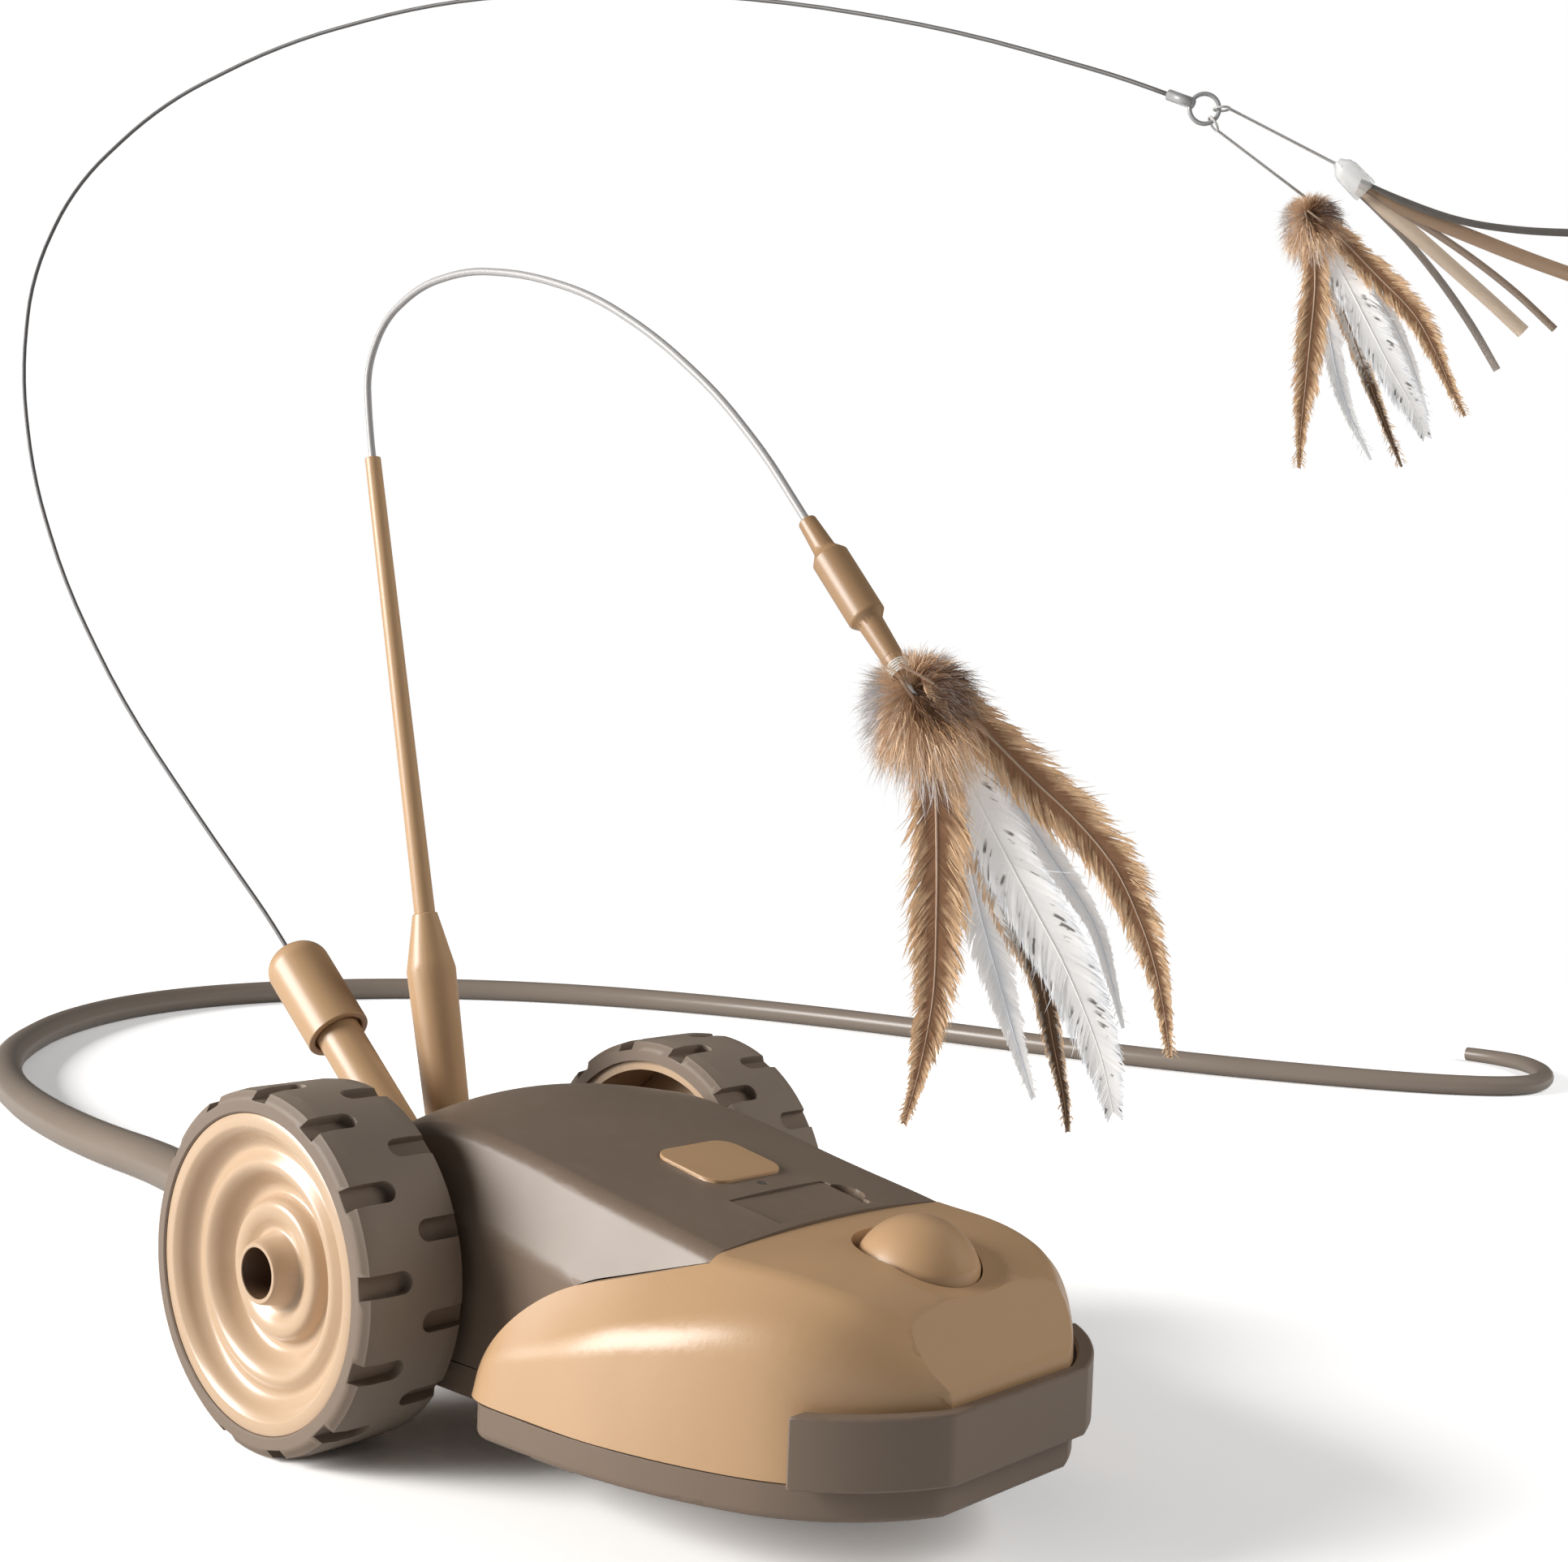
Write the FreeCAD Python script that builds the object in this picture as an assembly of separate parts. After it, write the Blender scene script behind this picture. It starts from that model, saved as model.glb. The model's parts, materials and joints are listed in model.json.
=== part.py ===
import FreeCAD, Part
import math
import os

# Cat toy car with two spring wire wands and a long tail. Millimetres, +Z up, nose towards -Y.
# The origin is on the flat underside of the base, on the centre plane, straight below the wheel axle.

os.makedirs("parts", exist_ok=True)

V = FreeCAD.Vector
X, Y, Z = V(1, 0, 0), V(0, 1, 0), V(0, 0, 1)

# Wheels
wheel_diameter = 66.0
tyre_width = 22.5
overall_width = 119.4
disc_radius = 28.7
rim_wall = 2.0
tread_slots = 13
slot_width = 4.0
slot_depth = 2.0
slot_length = 10.0
shoulder_chamfer = 1.4
hub_bore_radius = 4.6
hub_wall = 1.6
hub_bore_length = 11.8
axle_diameter = 4.0
hub_head_height = 2.0
hub_head_radius = 3.4

# Body
ground_clearance = 12.5
wall = 1.8
base_height = 6.0
wheel_body_gap = 2.0
nose_flare = 11.8
front_y = -123.5
front_half = 16.4
nose_rear_y = -43.0
nose_corner_radius = 5.0
deck_front_y = -85.0
deck_slope = 0.18
deck_height_axle = 52.9
deck_inset = 5.7
deck_crown = 1.2
side_lean = 0.40
rear_radius = 44.0
rear_start_y = -22.0
rear_y = 28.0
rear_inset = 3.2
seam_gap = 0.2
crease_radius = 4.0
shoulder_radius = 6.0
brow_y = -117.3
brow_z = 30.5
chin_z = 20.2

# Front bumper
bumper_thickness = 2.6
bumper_height = 11.8
bumper_end_y = -109.4

# Power button and its dish
button_y = -103.0
button_radius = 10.7
button_rise = 8.1
button_base_z = 33.6
button_wall = 1.6
button_flange_z = 27.8
button_flange = 1.2
button_flange_radius = 12.4
button_guide = 2.0
button_travel = 1.5
button_gap = 0.35
dish_radius = 60.0
dish_depth = 1.3
dish_y = -111.0
dish_z = 34.2

# Badge, status light and charging flap
badge_y = -57.0
badge_width = 19.0
badge_length = 16.5
badge_thickness = 1.0
badge_proud = 0.4
light_y = -67.6
light_radius = 1.0
flap_y = -77.0
flap_width = 24.0
flap_length = 11.6
flap_thickness = 1.4
flap_gap = 0.25
flap_sunk = 0.3
notch_radius = 4.2
pin_diameter = 1.0

# Drive
gear_module = 0.6
wheel_teeth = 36
idler_big_teeth = 30
idler_small_teeth = 12
pinion_teeth = 10
mesh_backlash = 0.12
gear_width = 4.0
idler_pin_diameter = 2.0
motor_shaft_diameter = 2.0
motor_radius = 6.0
motor_centre_gap = 2.0
bracket_wheel_gap = 4.8
plate_gap = 0.6
gear_gap = 1.0
big_gear_width = 3.0
plate_thickness = 1.8
running_gap = 0.05

# Caster
caster_y = -84.0
ball_radius = 8.0
ball_gap = 0.3
caster_wall = 2.6
caster_relief = 0.4
caster_relief_margin = 3.0

# Electronics
board_z = 19.0
board_thickness = 1.6
board_half = 16.0
battery_size = (36.0, 36.0, 8.0)
battery_y = -54.5
board_posts = (-110.0, -77.0)
switch_height = 3.5
plunger_height = 1.3

# Screws
screw_radius = 1.1
screw_head_radius = 2.1
screw_head_height = 1.6
post_radius = 3.4
screw_depth = 9.0
boss_z = 13.0

# Wands
socket_wall = 1.8
socket_gap = 0.1
socket_web_z = 24.0
socket_a_depth = 13.5
socket_b_depth = 10.5
socket_floor = 1.6
socket_collar = 3.0
socket_collar_length = 2.5
wand_a_reach = 30.0
wand_b_reach = 38.0
wand_a_x = -8.0
wand_b_x = 8.0
holder_a_diameter = 9.4
cap_a_diameter = 13.4
cap_a_length = 25.0
cap_a_overlap = 5.0
cap_a_wall = 1.4
cap_a_hollow = 1.8
rod_b_seat = 6.0
wire_b_seat = 10.0
handle_b_diameter = 9.2
shoulder_b_diameter = 10.4
rod_b_diameter = 4.4
rod_b_tip_diameter = 3.4
wire_a_diameter = 0.9
wire_b_diameter = 1.5
leader_diameter = 0.6

# Tail
tail_diameter = 8.0
tail_exit_z = 11.0
ferrule_diameter = 14.0
ferrule_plug = 8.6
tail_start_y = 40.0

# Worked out from the values above
ground_z = -ground_clearance
axle_z = wheel_diameter / 2 - ground_clearance
wheel_out = overall_width / 2
wheel_in = wheel_out - tyre_width
body_half = wheel_in - wheel_body_gap
nose_half = body_half + nose_flare
deck_half = body_half - deck_inset
rear_half = body_half - rear_inset
plate_out = wheel_in - bracket_wheel_gap - plate_thickness
big_x1 = plate_out - plate_gap
big_x0 = big_x1 - big_gear_width
gear_x1 = big_x0 - gear_gap
gear_x0 = gear_x1 - gear_width
plate_in = gear_x0 - plate_gap - plate_thickness
deck_angle = math.degrees(math.atan(deck_slope))
board_top = board_z + board_thickness


def deck_z(y):
    return deck_height_axle + deck_slope * y


def save(name, shape):
    shape.exportStep("parts/" + name + ".step")


def box(x0, x1, y0, y1, z0, z1):
    return Part.makeBox(x1 - x0, y1 - y0, z1 - z0, V(x0, y0, z0))


def rod(radius, start, end):
    axis = end - start
    return Part.makeCylinder(radius, axis.Length, start, axis)


def cone(r0, r1, start, end):
    axis = end - start
    return Part.makeCone(r0, r1, axis.Length, start, axis)


def polygon_face(points):
    return Part.Face(Part.makePolygon(points + [points[0]]))


def mirrored(shape):
    return shape.mirror(V(0, 0, 0), X)


def group(solids):
    return Part.makeCompound(solids)


def turned(profile, centre, axis=X):
    """Solid of revolution about +X: profile is a list of (distance along X, radius)."""
    points = [V(x, r, 0) for x, r in profile]
    face = polygon_face(points)
    solid = face.revolve(V(0, 0, 0), X, 360)
    solid.translate(centre)
    return solid


# Tubes along a route of straight runs joined by tangent arcs

def route_wire(points):
    edges = []
    radii = []
    start = points[0]
    for before, corner, after in zip(points, points[1:], points[2:]):
        into = corner - before
        out = after - corner
        half_turn = into.getAngle(out) / 2
        reach = 0.45 * min(into.Length, out.Length)
        into.normalize()
        out.normalize()
        arc_start = corner - into * reach
        arc_end = corner + out * reach
        radius = reach / math.tan(half_turn)
        bisector = out - into
        bisector.normalize()
        centre_distance = radius / math.cos(half_turn)
        middle = corner + bisector * (centre_distance - radius)
        edges.append(Part.LineSegment(start, arc_start).toShape())
        edges.append(Part.Arc(arc_start, middle, arc_end).toShape())
        radii.append(radius)
        start = arc_end
    edges.append(Part.LineSegment(start, points[-1]).toShape())
    return Part.Wire(edges), radii


def arc_past(corner, start, end):
    """Arc from start to end whose end tangents meet at the corner, as far from one as the other."""
    middle = (start + end) / 2
    rise = (corner - middle).Length
    half_chord = (end - start).Length / 2
    radius = half_chord * (corner - start).Length / rise
    bow = radius - math.sqrt(radius ** 2 - half_chord ** 2)
    return Part.Arc(start, middle + (corner - middle) * (bow / rise), end).toShape()


def biarc(start, leaving, end, arriving):
    """Two arcs that leave start and reach end along the given unit directions and meet in line."""
    chord = end - start
    spread = 2 * (1 - leaving.dot(arriving))
    along = chord.dot(leaving + arriving)
    reach = (math.sqrt(along ** 2 + spread * chord.dot(chord)) - along) / spread
    first_corner = start + leaving * reach
    last_corner = end - arriving * reach
    joint = (first_corner + last_corner) / 2
    return [arc_past(first_corner, start, joint), arc_past(last_corner, joint, end)]


def coil(radius, wire, height, turns):
    """Round wire wound about +Z from height 0, in quarter turns."""
    steps = round(4 * turns)
    rise = height / steps
    slope = rise / (radius * math.pi / 2)

    def point(step):
        angle = step * math.pi / 2
        return V(radius * math.cos(angle), radius * math.sin(angle), rise * step)

    def direction(step):
        angle = step * math.pi / 2
        along = V(-math.sin(angle), math.cos(angle), slope)
        return along.normalize()

    edges = []
    for step in range(steps):
        edges += biarc(point(step), direction(step), point(step + 1), direction(step + 1))
    path = Part.Wire(edges)
    circle = Part.Wire(Part.makeCircle(wire / 2, point(0), direction(0)))
    wound = path.makePipeShell([circle], True, False)
    ideal = math.pi * wire ** 2 / 4 * path.Length
    return wound, 4 * rise - wire, wound.Volume / ideal


def tube(points, diameter):
    path, radii = route_wire(points)
    direction = points[1] - points[0]
    circle = Part.Wire(Part.makeCircle(diameter / 2, points[0], direction))
    solid = path.makePipeShell([circle], True, False)
    ideal = math.pi * diameter ** 2 / 4 * path.Length
    return solid, radii, path.Length, solid.Volume / ideal


# Plan outline of the base and nose, inset by a distance

def circle_through(p, q, r):
    circle = Part.Circle(p, q, r)
    return circle.Center, circle.Radius


def side_points(inset, z):
    n = nose_half - inset
    straight = V(n, nose_rear_y - 14.0, z)
    mid_side = V(n - 2.3, -83.0, z)
    corner = V(n - 8.4, -102.5 + 0.7 * inset, z)
    chamfer_mid = V(front_half + 12.0 - 0.8 * inset, -116.0 + 0.9 * inset, z)
    front = V(front_half - 0.4 * inset, front_y + inset, z)
    return straight, mid_side, corner, chamfer_mid, front


def plan_half(y):
    """Half width of the plan outline at one place along the nose."""
    straight, mid_side, corner, chamfer_mid, front = side_points(0, 0)
    if y > straight.y:
        return straight.x
    if y > corner.y:
        centre, radius = circle_through(straight, mid_side, corner)
    else:
        centre, radius = circle_through(corner, chamfer_mid, front)
    return centre.x + math.sqrt(max(radius ** 2 - (y - centre.y) ** 2, 0))


def outline_wire(inset, z):
    b = body_half - inset
    tail_end = rear_y - inset
    straight, mid_side, corner, chamfer_mid, front = side_points(inset, z)
    c = nose_corner_radius
    rear = nose_rear_y - 1.5 - inset
    round_mid = V(straight.x - c * (1 - math.sqrt(0.5)), rear - c * (1 - math.sqrt(0.5)), z)

    def flip(p):
        return V(-p.x, p.y, p.z)

    half = [
        Part.LineSegment(V(rear_half - inset, tail_end, z), V(b, tail_end - 14.0, z)),
        Part.LineSegment(V(b, tail_end - 14.0, z), V(b, rear, z)),
        Part.LineSegment(V(b, rear, z), V(straight.x - c, rear, z)),
        Part.Arc(V(straight.x - c, rear, z), round_mid, V(straight.x, rear - c, z)),
        Part.LineSegment(V(straight.x, rear - c, z), straight),
        Part.Arc(straight, mid_side, corner),
        Part.Arc(corner, chamfer_mid, front),
    ]
    right = [e.toShape() for e in half]
    left = [e.mirror(V(0, 0, z), X) for e in right]
    front_edge = Part.LineSegment(front, flip(front)).toShape()
    rear_left = V(inset - rear_half, tail_end, z)
    rear_edge = Part.LineSegment(rear_left, V(rear_half - inset, tail_end, z)).toShape()
    return Part.Wire(Part.__sortEdges__(right + [front_edge] + left + [rear_edge]))


def outline_prism(inset, z0, z1):
    return Part.Face(outline_wire(inset, z0)).extrude(V(0, 0, z1 - z0))


# Outer shapes of the covers; inset gives the inside of the same shell

def top_line(y):
    """Height of the centre line: the straight deck, then an arc that falls to the rear."""
    if y <= rear_start_y:
        return deck_z(y)
    angle = math.atan(deck_slope)
    centre_y = rear_start_y + rear_radius * math.sin(angle)
    centre_z = deck_z(rear_start_y) - rear_radius * math.cos(angle)
    return centre_z + math.sqrt(rear_radius ** 2 - (y - centre_y) ** 2)


def rounded_section(points, radii, top, y):
    """Closed symmetric section: right-hand corner points from the bottom up, rounded, with a crown."""
    right = []
    start = points[0]
    for before, corner, after, radius in zip(points, points[1:], points[2:], radii):
        into = corner - before
        out = after - corner
        half_turn = into.getAngle(out) / 2
        reach = min(radius * math.tan(half_turn), 0.42 * into.Length, 0.42 * out.Length)
        into.normalize()
        out.normalize()
        a = corner - into * reach
        b = corner + out * reach
        bisector = out - into
        bisector.normalize()
        r = reach / math.tan(half_turn)
        middle = corner + bisector * (r / math.cos(half_turn) - r)
        right.append(Part.LineSegment(start, a).toShape())
        right.append(Part.Arc(a, middle, b).toShape())
        start = b

    left = [e.mirror(V(0, 0, 0), X) for e in right]
    crown = Part.Arc(start, V(0, y, top), V(-start.x, y, start.z)).toShape()
    floor_edge = Part.LineSegment(V(-points[0].x, y, points[0].z), points[0]).toShape()
    return Part.Wire([floor_edge] + right + [crown] + left[::-1])


# Top cover stations from the seam to the rear: place along Y and how far the crease lies below the top

cover_stations = [
    (-89.0, 1.2), (-68.0, 1.2), (-48.0, 1.2), (-34.0, 1.4), (-25.0, 2.0), (-16.0, 3.1),
    (-6.0, 4.0), (4.0, 4.4), (12.0, 4.6), (19.0, 4.6), (24.5, 4.4), (rear_y, 4.2),
]


def cover_section(station, inset):
    """Section across the top cover at one place along it."""
    y, drop = station
    place = min(y, rear_y - inset)
    top = top_line(place) - inset
    crease = top - drop
    half = deck_half - 0.8 * inset
    wide = body_half - inset
    corner_z = max(crease - (wide - half) / side_lean, base_height + 1.5)
    corner_x = half + side_lean * (crease - corner_z)
    points = [
        V(corner_x, place, base_height - 1.0),
        V(corner_x, place, corner_z),
        V(half, place, crease),
        V(0, place, crease + 0.4 * drop),
    ]
    return rounded_section(points, [crease_radius * 2, crease_radius], top, place)


def cover_body(inset):
    return Part.makeLoft([cover_section(s, inset) for s in cover_stations], True, False)


# Nose stations from the rear to the chin: place along Y, narrowing of the plan, side lean at the
# crease, crease height, half width at the deck's edge from the deck's own, and height of the top

nose_stations = [
    (-43.0, 2.2, 1.2, 9.0, 1.5, 45.0),
    (-46.5, 0.5, 1.4, 12.4, 1.5, 44.4),
    (-54.0, 0.0, 1.6, 15.8, 1.1, 43.1),
    (-68.0, 0.0, 2.0, 20.6, 0.7, 40.6),
    (-85.0, 0.0, 2.2, 25.8, 0.1, 37.6),
    (-92.0, 0.0, 2.0, 27.4, -0.3, 37.2),
    (-99.0, 0.0, 1.8, 28.4, -1.5, 36.9),
    (-105.0, 0.0, 1.6, 28.4, -2.9, 36.1),
    (-111.0, 0.0, 1.5, 27.2, -4.9, 34.6),
    (-116.5, 0.0, 1.4, 24.0, -8.7, 32.0),
    (-120.5, 0.0, 1.0, 21.0, -11.3, 29.8),
    (-123.5, 0.0, 0.6, 17.6, -14.1, 27.4),
]


def nose_section(station, inset):
    y, narrow, lean, crease_z, top_step, top_z = station
    forward = min(max((-90.0 - y) / 25.0, 0.0), 1.0)
    place = y + inset * forward
    top = top_z - inset
    side = plan_half(y) - narrow - inset
    points = [
        V(side, place, base_height - 1.0),
        V(side - lean, place, crease_z - 0.5 * inset),
        V(deck_half + top_step - 0.6 * inset, place, top - deck_crown),
        V(0, place, top - 0.6 * deck_crown),
    ]
    return rounded_section(points, [shoulder_radius * 1.6, shoulder_radius], top, place)


def front_facet(inset):
    """Everything behind the sloping front face."""
    slope = (front_y - brow_y) / (brow_z - chin_z)
    shift = inset * math.hypot(1, slope)
    high = 60.0
    points = [
        V(-80, 0, -10),
        V(-80, 0, high),
        V(-80, brow_y + shift - slope * (high - brow_z), high),
        V(-80, front_y + shift, chin_z),
        V(-80, front_y + inset, chin_z - 1.0),
        V(-80, front_y + inset, -10),
    ]
    return polygon_face(points).extrude(V(160, 0, 0))


def nose_body(inset):
    loft = Part.makeLoft([nose_section(s, inset) for s in nose_stations], True, False)
    return loft.common(front_facet(inset))


def seam_region(gap):
    """Everything in front of and below the seam between the top cover and the nose."""
    step = V(0, deck_front_y - gap, deck_z(deck_front_y) - 2.5)
    shoulder = V(0, -63.0 - gap, 28.3 - gap)
    turn_mid = V(0, -50.0 - gap, 20.0 - gap)
    foot = V(0, nose_rear_y - gap, 8.5 - gap)
    ends = [V(0, nose_rear_y - gap, -30), V(0, front_y - 30, -30), V(0, front_y - 30, 80),
            V(0, deck_front_y - gap, 80)]
    edges = [Part.LineSegment(step, shoulder).toShape(), Part.Arc(shoulder, turn_mid, foot).toShape()]
    outer = [foot] + ends + [step]
    edges += [Part.LineSegment(p, q).toShape() for p, q in zip(outer, outer[1:])]
    face = Part.Face(Part.Wire(edges))
    face.translate(V(-80, 0, 0))
    return face.extrude(V(160, 0, 0))


# Frame on the deck surface: x across, y up the slope, z out of the deck

def on_deck(shape, y):
    shape = shape.copy()
    shape.rotate(V(0, 0, 0), X, deck_angle)
    shape.translate(V(0, y, deck_z(y)))
    return shape


def rounded_plate(width, length, radius, z0, z1):
    plate = box(-width / 2, width / 2, -length / 2, length / 2, z0, z1)
    upright = [e for e in plate.Edges if abs(e.tangentAt(e.FirstParameter).z) > 0.9]
    return plate.makeFillet(radius, upright)


# Screws that hold the covers to the base

screw_places = [(body_half - 7.7, 19.0), (body_half - 9.2, -44.0), (nose_half - 13.0, -88.0)]
screw_places += [(-x, y) for x, y in screw_places]
head_z = screw_depth
shank_top = boss_z + 7.0


def cover_screw(x, y):
    head = rod(screw_head_radius, V(x, y, head_z - screw_head_height), V(x, y, head_z))
    shank = rod(screw_radius, V(x, y, head_z), V(x, y, shank_top))
    slot = box(x - screw_head_radius, x + screw_head_radius, y - 0.3, y + 0.3,
               head_z - screw_head_height, head_z - screw_head_height + 0.6)
    cross = box(x - 0.3, x + 0.3, y - screw_head_radius, y + screw_head_radius,
                head_z - screw_head_height, head_z - screw_head_height + 0.6)
    middle = rod(screw_head_radius * 0.62, V(x, y, head_z - 2 * screw_head_height), V(x, y, head_z))
    return head.fuse(shank).cut(group([slot, cross]).common(middle))


save("cover_screws", group([cover_screw(x, y) for x, y in screw_places]))


def boss(x, y, outer):
    """Screw boss that hangs from a cover, trimmed to the cover's outer shape."""
    post = rod(post_radius - 0.4, V(x, y, boss_z), V(x, y, 70))
    return post.common(outer)


def pilot(x, y):
    return rod(screw_radius, V(x, y, boss_z - 1), V(x, y, shank_top))


# Wand and tail routes

def along(start, direction, distance):
    return start + direction * distance


wand_a_dir = V(0, 0.766, 0.642)
wand_a_dir.normalize()
wand_a_lip = V(wand_a_x, 46.8, 52.8)
wand_a_end = along(wand_a_lip, wand_a_dir, socket_floor - socket_a_depth - wand_a_reach)
wand_a_top = along(wand_a_lip, wand_a_dir, cap_a_length - 1.0)
socket_a_mouth = along(wand_a_lip, wand_a_dir, -wand_a_reach)

wand_b_dir = V(0, 0.227, 0.974)
wand_b_dir.normalize()
wand_b_shoulder = V(wand_b_x, 36.9, 66.6)
wand_b_end = along(wand_b_shoulder, wand_b_dir, socket_floor - socket_b_depth - wand_b_reach)
wand_b_cone = along(wand_b_shoulder, wand_b_dir, 12.0)
wand_b_rod_top = along(wand_b_shoulder, wand_b_dir, 112.0)
socket_b_mouth = along(wand_b_shoulder, wand_b_dir, -wand_b_reach)

wire_a_route = [
    along(wand_a_top, wand_a_dir, -6.0),
    along(wand_a_top, wand_a_dir, 10.0),
    V(-9.0, 97.5, 93.3),
    V(-9.8, 131.6, 119.8),
    V(-8.3, 161.9, 148.4),
    V(-5.2, 184.0, 175.4),
    V(-1.4, 197.8, 202.6),
    V(5.2, 205.8, 229.6),
    V(15.6, 204.0, 254.4),
    V(29.4, 186.2, 275.6),
    V(44.4, 154.4, 289.6),
    V(60.0, 112.0, 296.4),
    V(74.0, 64.0, 294.0),
    V(85.0, 16.0, 285.2),
    V(93.0, -27.0, 273.0),
    V(99.1, -65.6, 258.2),
    V(101.3, -81.6, 250.9),
]

wire_b_route = [
    along(wand_b_rod_top, wand_b_dir, -wire_b_seat),
    along(wand_b_rod_top, wand_b_dir, 6.0),
    V(8.0, 65.4, 195.0),
    V(8.0, 59.6, 205.2),
    V(8.0, 47.5, 211.2),
    V(8.0, 32.0, 212.8),
    V(8.0, 14.0, 210.2),
    V(8.0, -6.0, 204.2),
    V(8.0, -25.0, 194.2),
    V(8.0, -42.0, 182.0),
    V(8.0, -54.5, 170.2),
    V(8.0, -62.0, 161.6),
    V(8.0, -67.5, 155.3),
]

tail_z = ground_z + tail_diameter / 2
tail_route = [
    V(0, tail_start_y, tail_exit_z),
    V(0, 58.0, tail_exit_z),
    V(5.0, 82.0, tail_exit_z - 6.0),
    V(14.0, 109.0, tail_z + 5.0),
    V(26.0, 137.0, tail_z),
    V(36.0, 166.0, tail_z),
    V(42.0, 196.0, tail_z),
    V(43.5, 228.0, tail_z),
    V(49.0, 264.0, tail_z),
    V(58.0, 300.0, tail_z),
    V(71.0, 335.0, tail_z),
    V(91.0, 372.0, tail_z),
    V(117.0, 405.0, tail_z),
    V(148.0, 435.0, tail_z),
    V(187.0, 459.0, tail_z),
    V(230.0, 470.0, tail_z),
    V(272.0, 466.0, tail_z),
    V(311.0, 452.0, tail_z),
    V(346.0, 427.0, tail_z),
    V(377.0, 388.0, tail_z),
    V(402.0, 338.0, tail_z),
    V(420.0, 281.0, tail_z),
    V(432.0, 222.0, tail_z),
    V(441.0, 165.0, tail_z),
    V(454.0, 115.0, tail_z),
    V(472.0, 70.0, tail_z),
    V(492.0, 33.0, tail_z),
    V(516.0, 10.0, tail_z),
    V(545.0, 12.0, tail_z),
    V(571.0, 28.0, tail_z),
    V(583.0, 46.0, tail_z),
    V(583.0, 63.0, tail_z),
]

tail_solid, tail_radii, tail_length, tail_check = tube(tail_route, tail_diameter)
save("tail", tail_solid)
print("tail length", round(tail_length, 1), "volume over section times length", round(tail_check, 4))
print("tail radii", [round(r) for r in tail_radii])

# Base: a tray with a flat floor that steps up round the caster, screw posts and cradles for the motors

cup_radius = ball_radius + ball_gap + caster_wall

motor_y = -(wheel_teeth + idler_small_teeth) * gear_module / 2 - mesh_backlash
idler_y = motor_y
motor_y = idler_y - (idler_big_teeth + pinion_teeth) * gear_module / 2 - mesh_backlash


def base_shell():
    outer = outline_prism(0, 0, base_height)
    bottom_edges = [e for e in outer.Edges if e.BoundBox.ZMax < 0.01]
    outer = outer.makeFillet(1.6, bottom_edges)
    inner = outline_prism(wall, wall, base_height + 5)
    shell = outer.cut(inner)
    for x, y in screw_places:
        shell = shell.fuse(rod(post_radius, V(x, y, 0.5), V(x, y, boss_z)))
    for side in (-1, 1):
        for x in (plate_in - 13.6, plate_in - 4.6):
            rib = box(side * x - 1, side * x + 1, motor_y - 8, motor_y + 8, wall - 0.5, axle_z - 1.0)
            shell = shell.fuse(rib)
    for x in (-12.0, 12.0):
        for y in board_posts:
            shell = shell.fuse(rod(2.2, V(x, y, wall - 0.5), V(x, y, board_z)))
    caster_hole = rod(ball_radius + 1.2, V(0, caster_y, -1), V(0, caster_y, wall + 1))
    shell = shell.cut(caster_hole)
    relief_end = caster_y + cup_radius + caster_relief_margin
    relief = box(-nose_half - 5, nose_half + 5, front_y - 5, relief_end, -1, caster_relief)
    shell = shell.cut(relief)
    for side in (-1, 1):
        cradle = rod(motor_radius + 0.02, V(0, motor_y, axle_z), V(side * 40, motor_y, axle_z))
        shell = shell.cut(cradle)
    for x, y in screw_places:
        shell = shell.cut(rod(screw_radius + 0.15, V(x, y, -1), V(x, y, boss_z + 1)))
        shell = shell.cut(rod(screw_head_radius + 0.3, V(x, y, -1), V(x, y, head_z)))
    return shell


save("base_shell", base_shell())

# Deck fittings

flap_axis_x = -flap_width / 2 + flap_thickness / 2 + 0.1
flap_axis_z = -flap_sunk - flap_thickness / 2
flap_recess_depth = flap_sunk + flap_thickness + 0.25


def charging_flap():
    plate = rounded_plate(flap_width, flap_length, 1.0, -flap_sunk - flap_thickness, -flap_sunk)
    keep = box(flap_axis_x, flap_width, -flap_length, flap_length, -5, 5)
    knuckle = rod(flap_thickness / 2, V(flap_axis_x, -flap_length / 2, flap_axis_z),
                  V(flap_axis_x, flap_length / 2, flap_axis_z))
    plate = plate.common(keep).fuse(knuckle)
    bore = rod(pin_diameter / 2 + running_gap, V(flap_axis_x, -flap_length, flap_axis_z),
               V(flap_axis_x, flap_length, flap_axis_z))
    return plate.cut(bore)


save("charging_flap", on_deck(charging_flap(), flap_y))
flap_pin = rod(pin_diameter / 2, V(flap_axis_x, -flap_length / 2 - 1.4, flap_axis_z),
               V(flap_axis_x, flap_length / 2 + 1.4, flap_axis_z))
save("flap_pin", on_deck(flap_pin, flap_y))

badge = rounded_plate(badge_width, badge_length, 4.0, badge_proud - badge_thickness, badge_proud)
top_edges = [e for e in badge.Edges if e.BoundBox.ZMin > badge_proud - 0.01]
badge = badge.makeFillet(0.25, top_edges)
save("badge_plate", on_deck(badge, badge_y))

light = rod(light_radius, V(0, 0, -4.6), V(0, 0, -0.1))
light = light.fuse(rod(light_radius + 0.5, V(0, 0, -4.6), V(0, 0, -2.2)))
save("status_light", on_deck(light, light_y))


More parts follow.
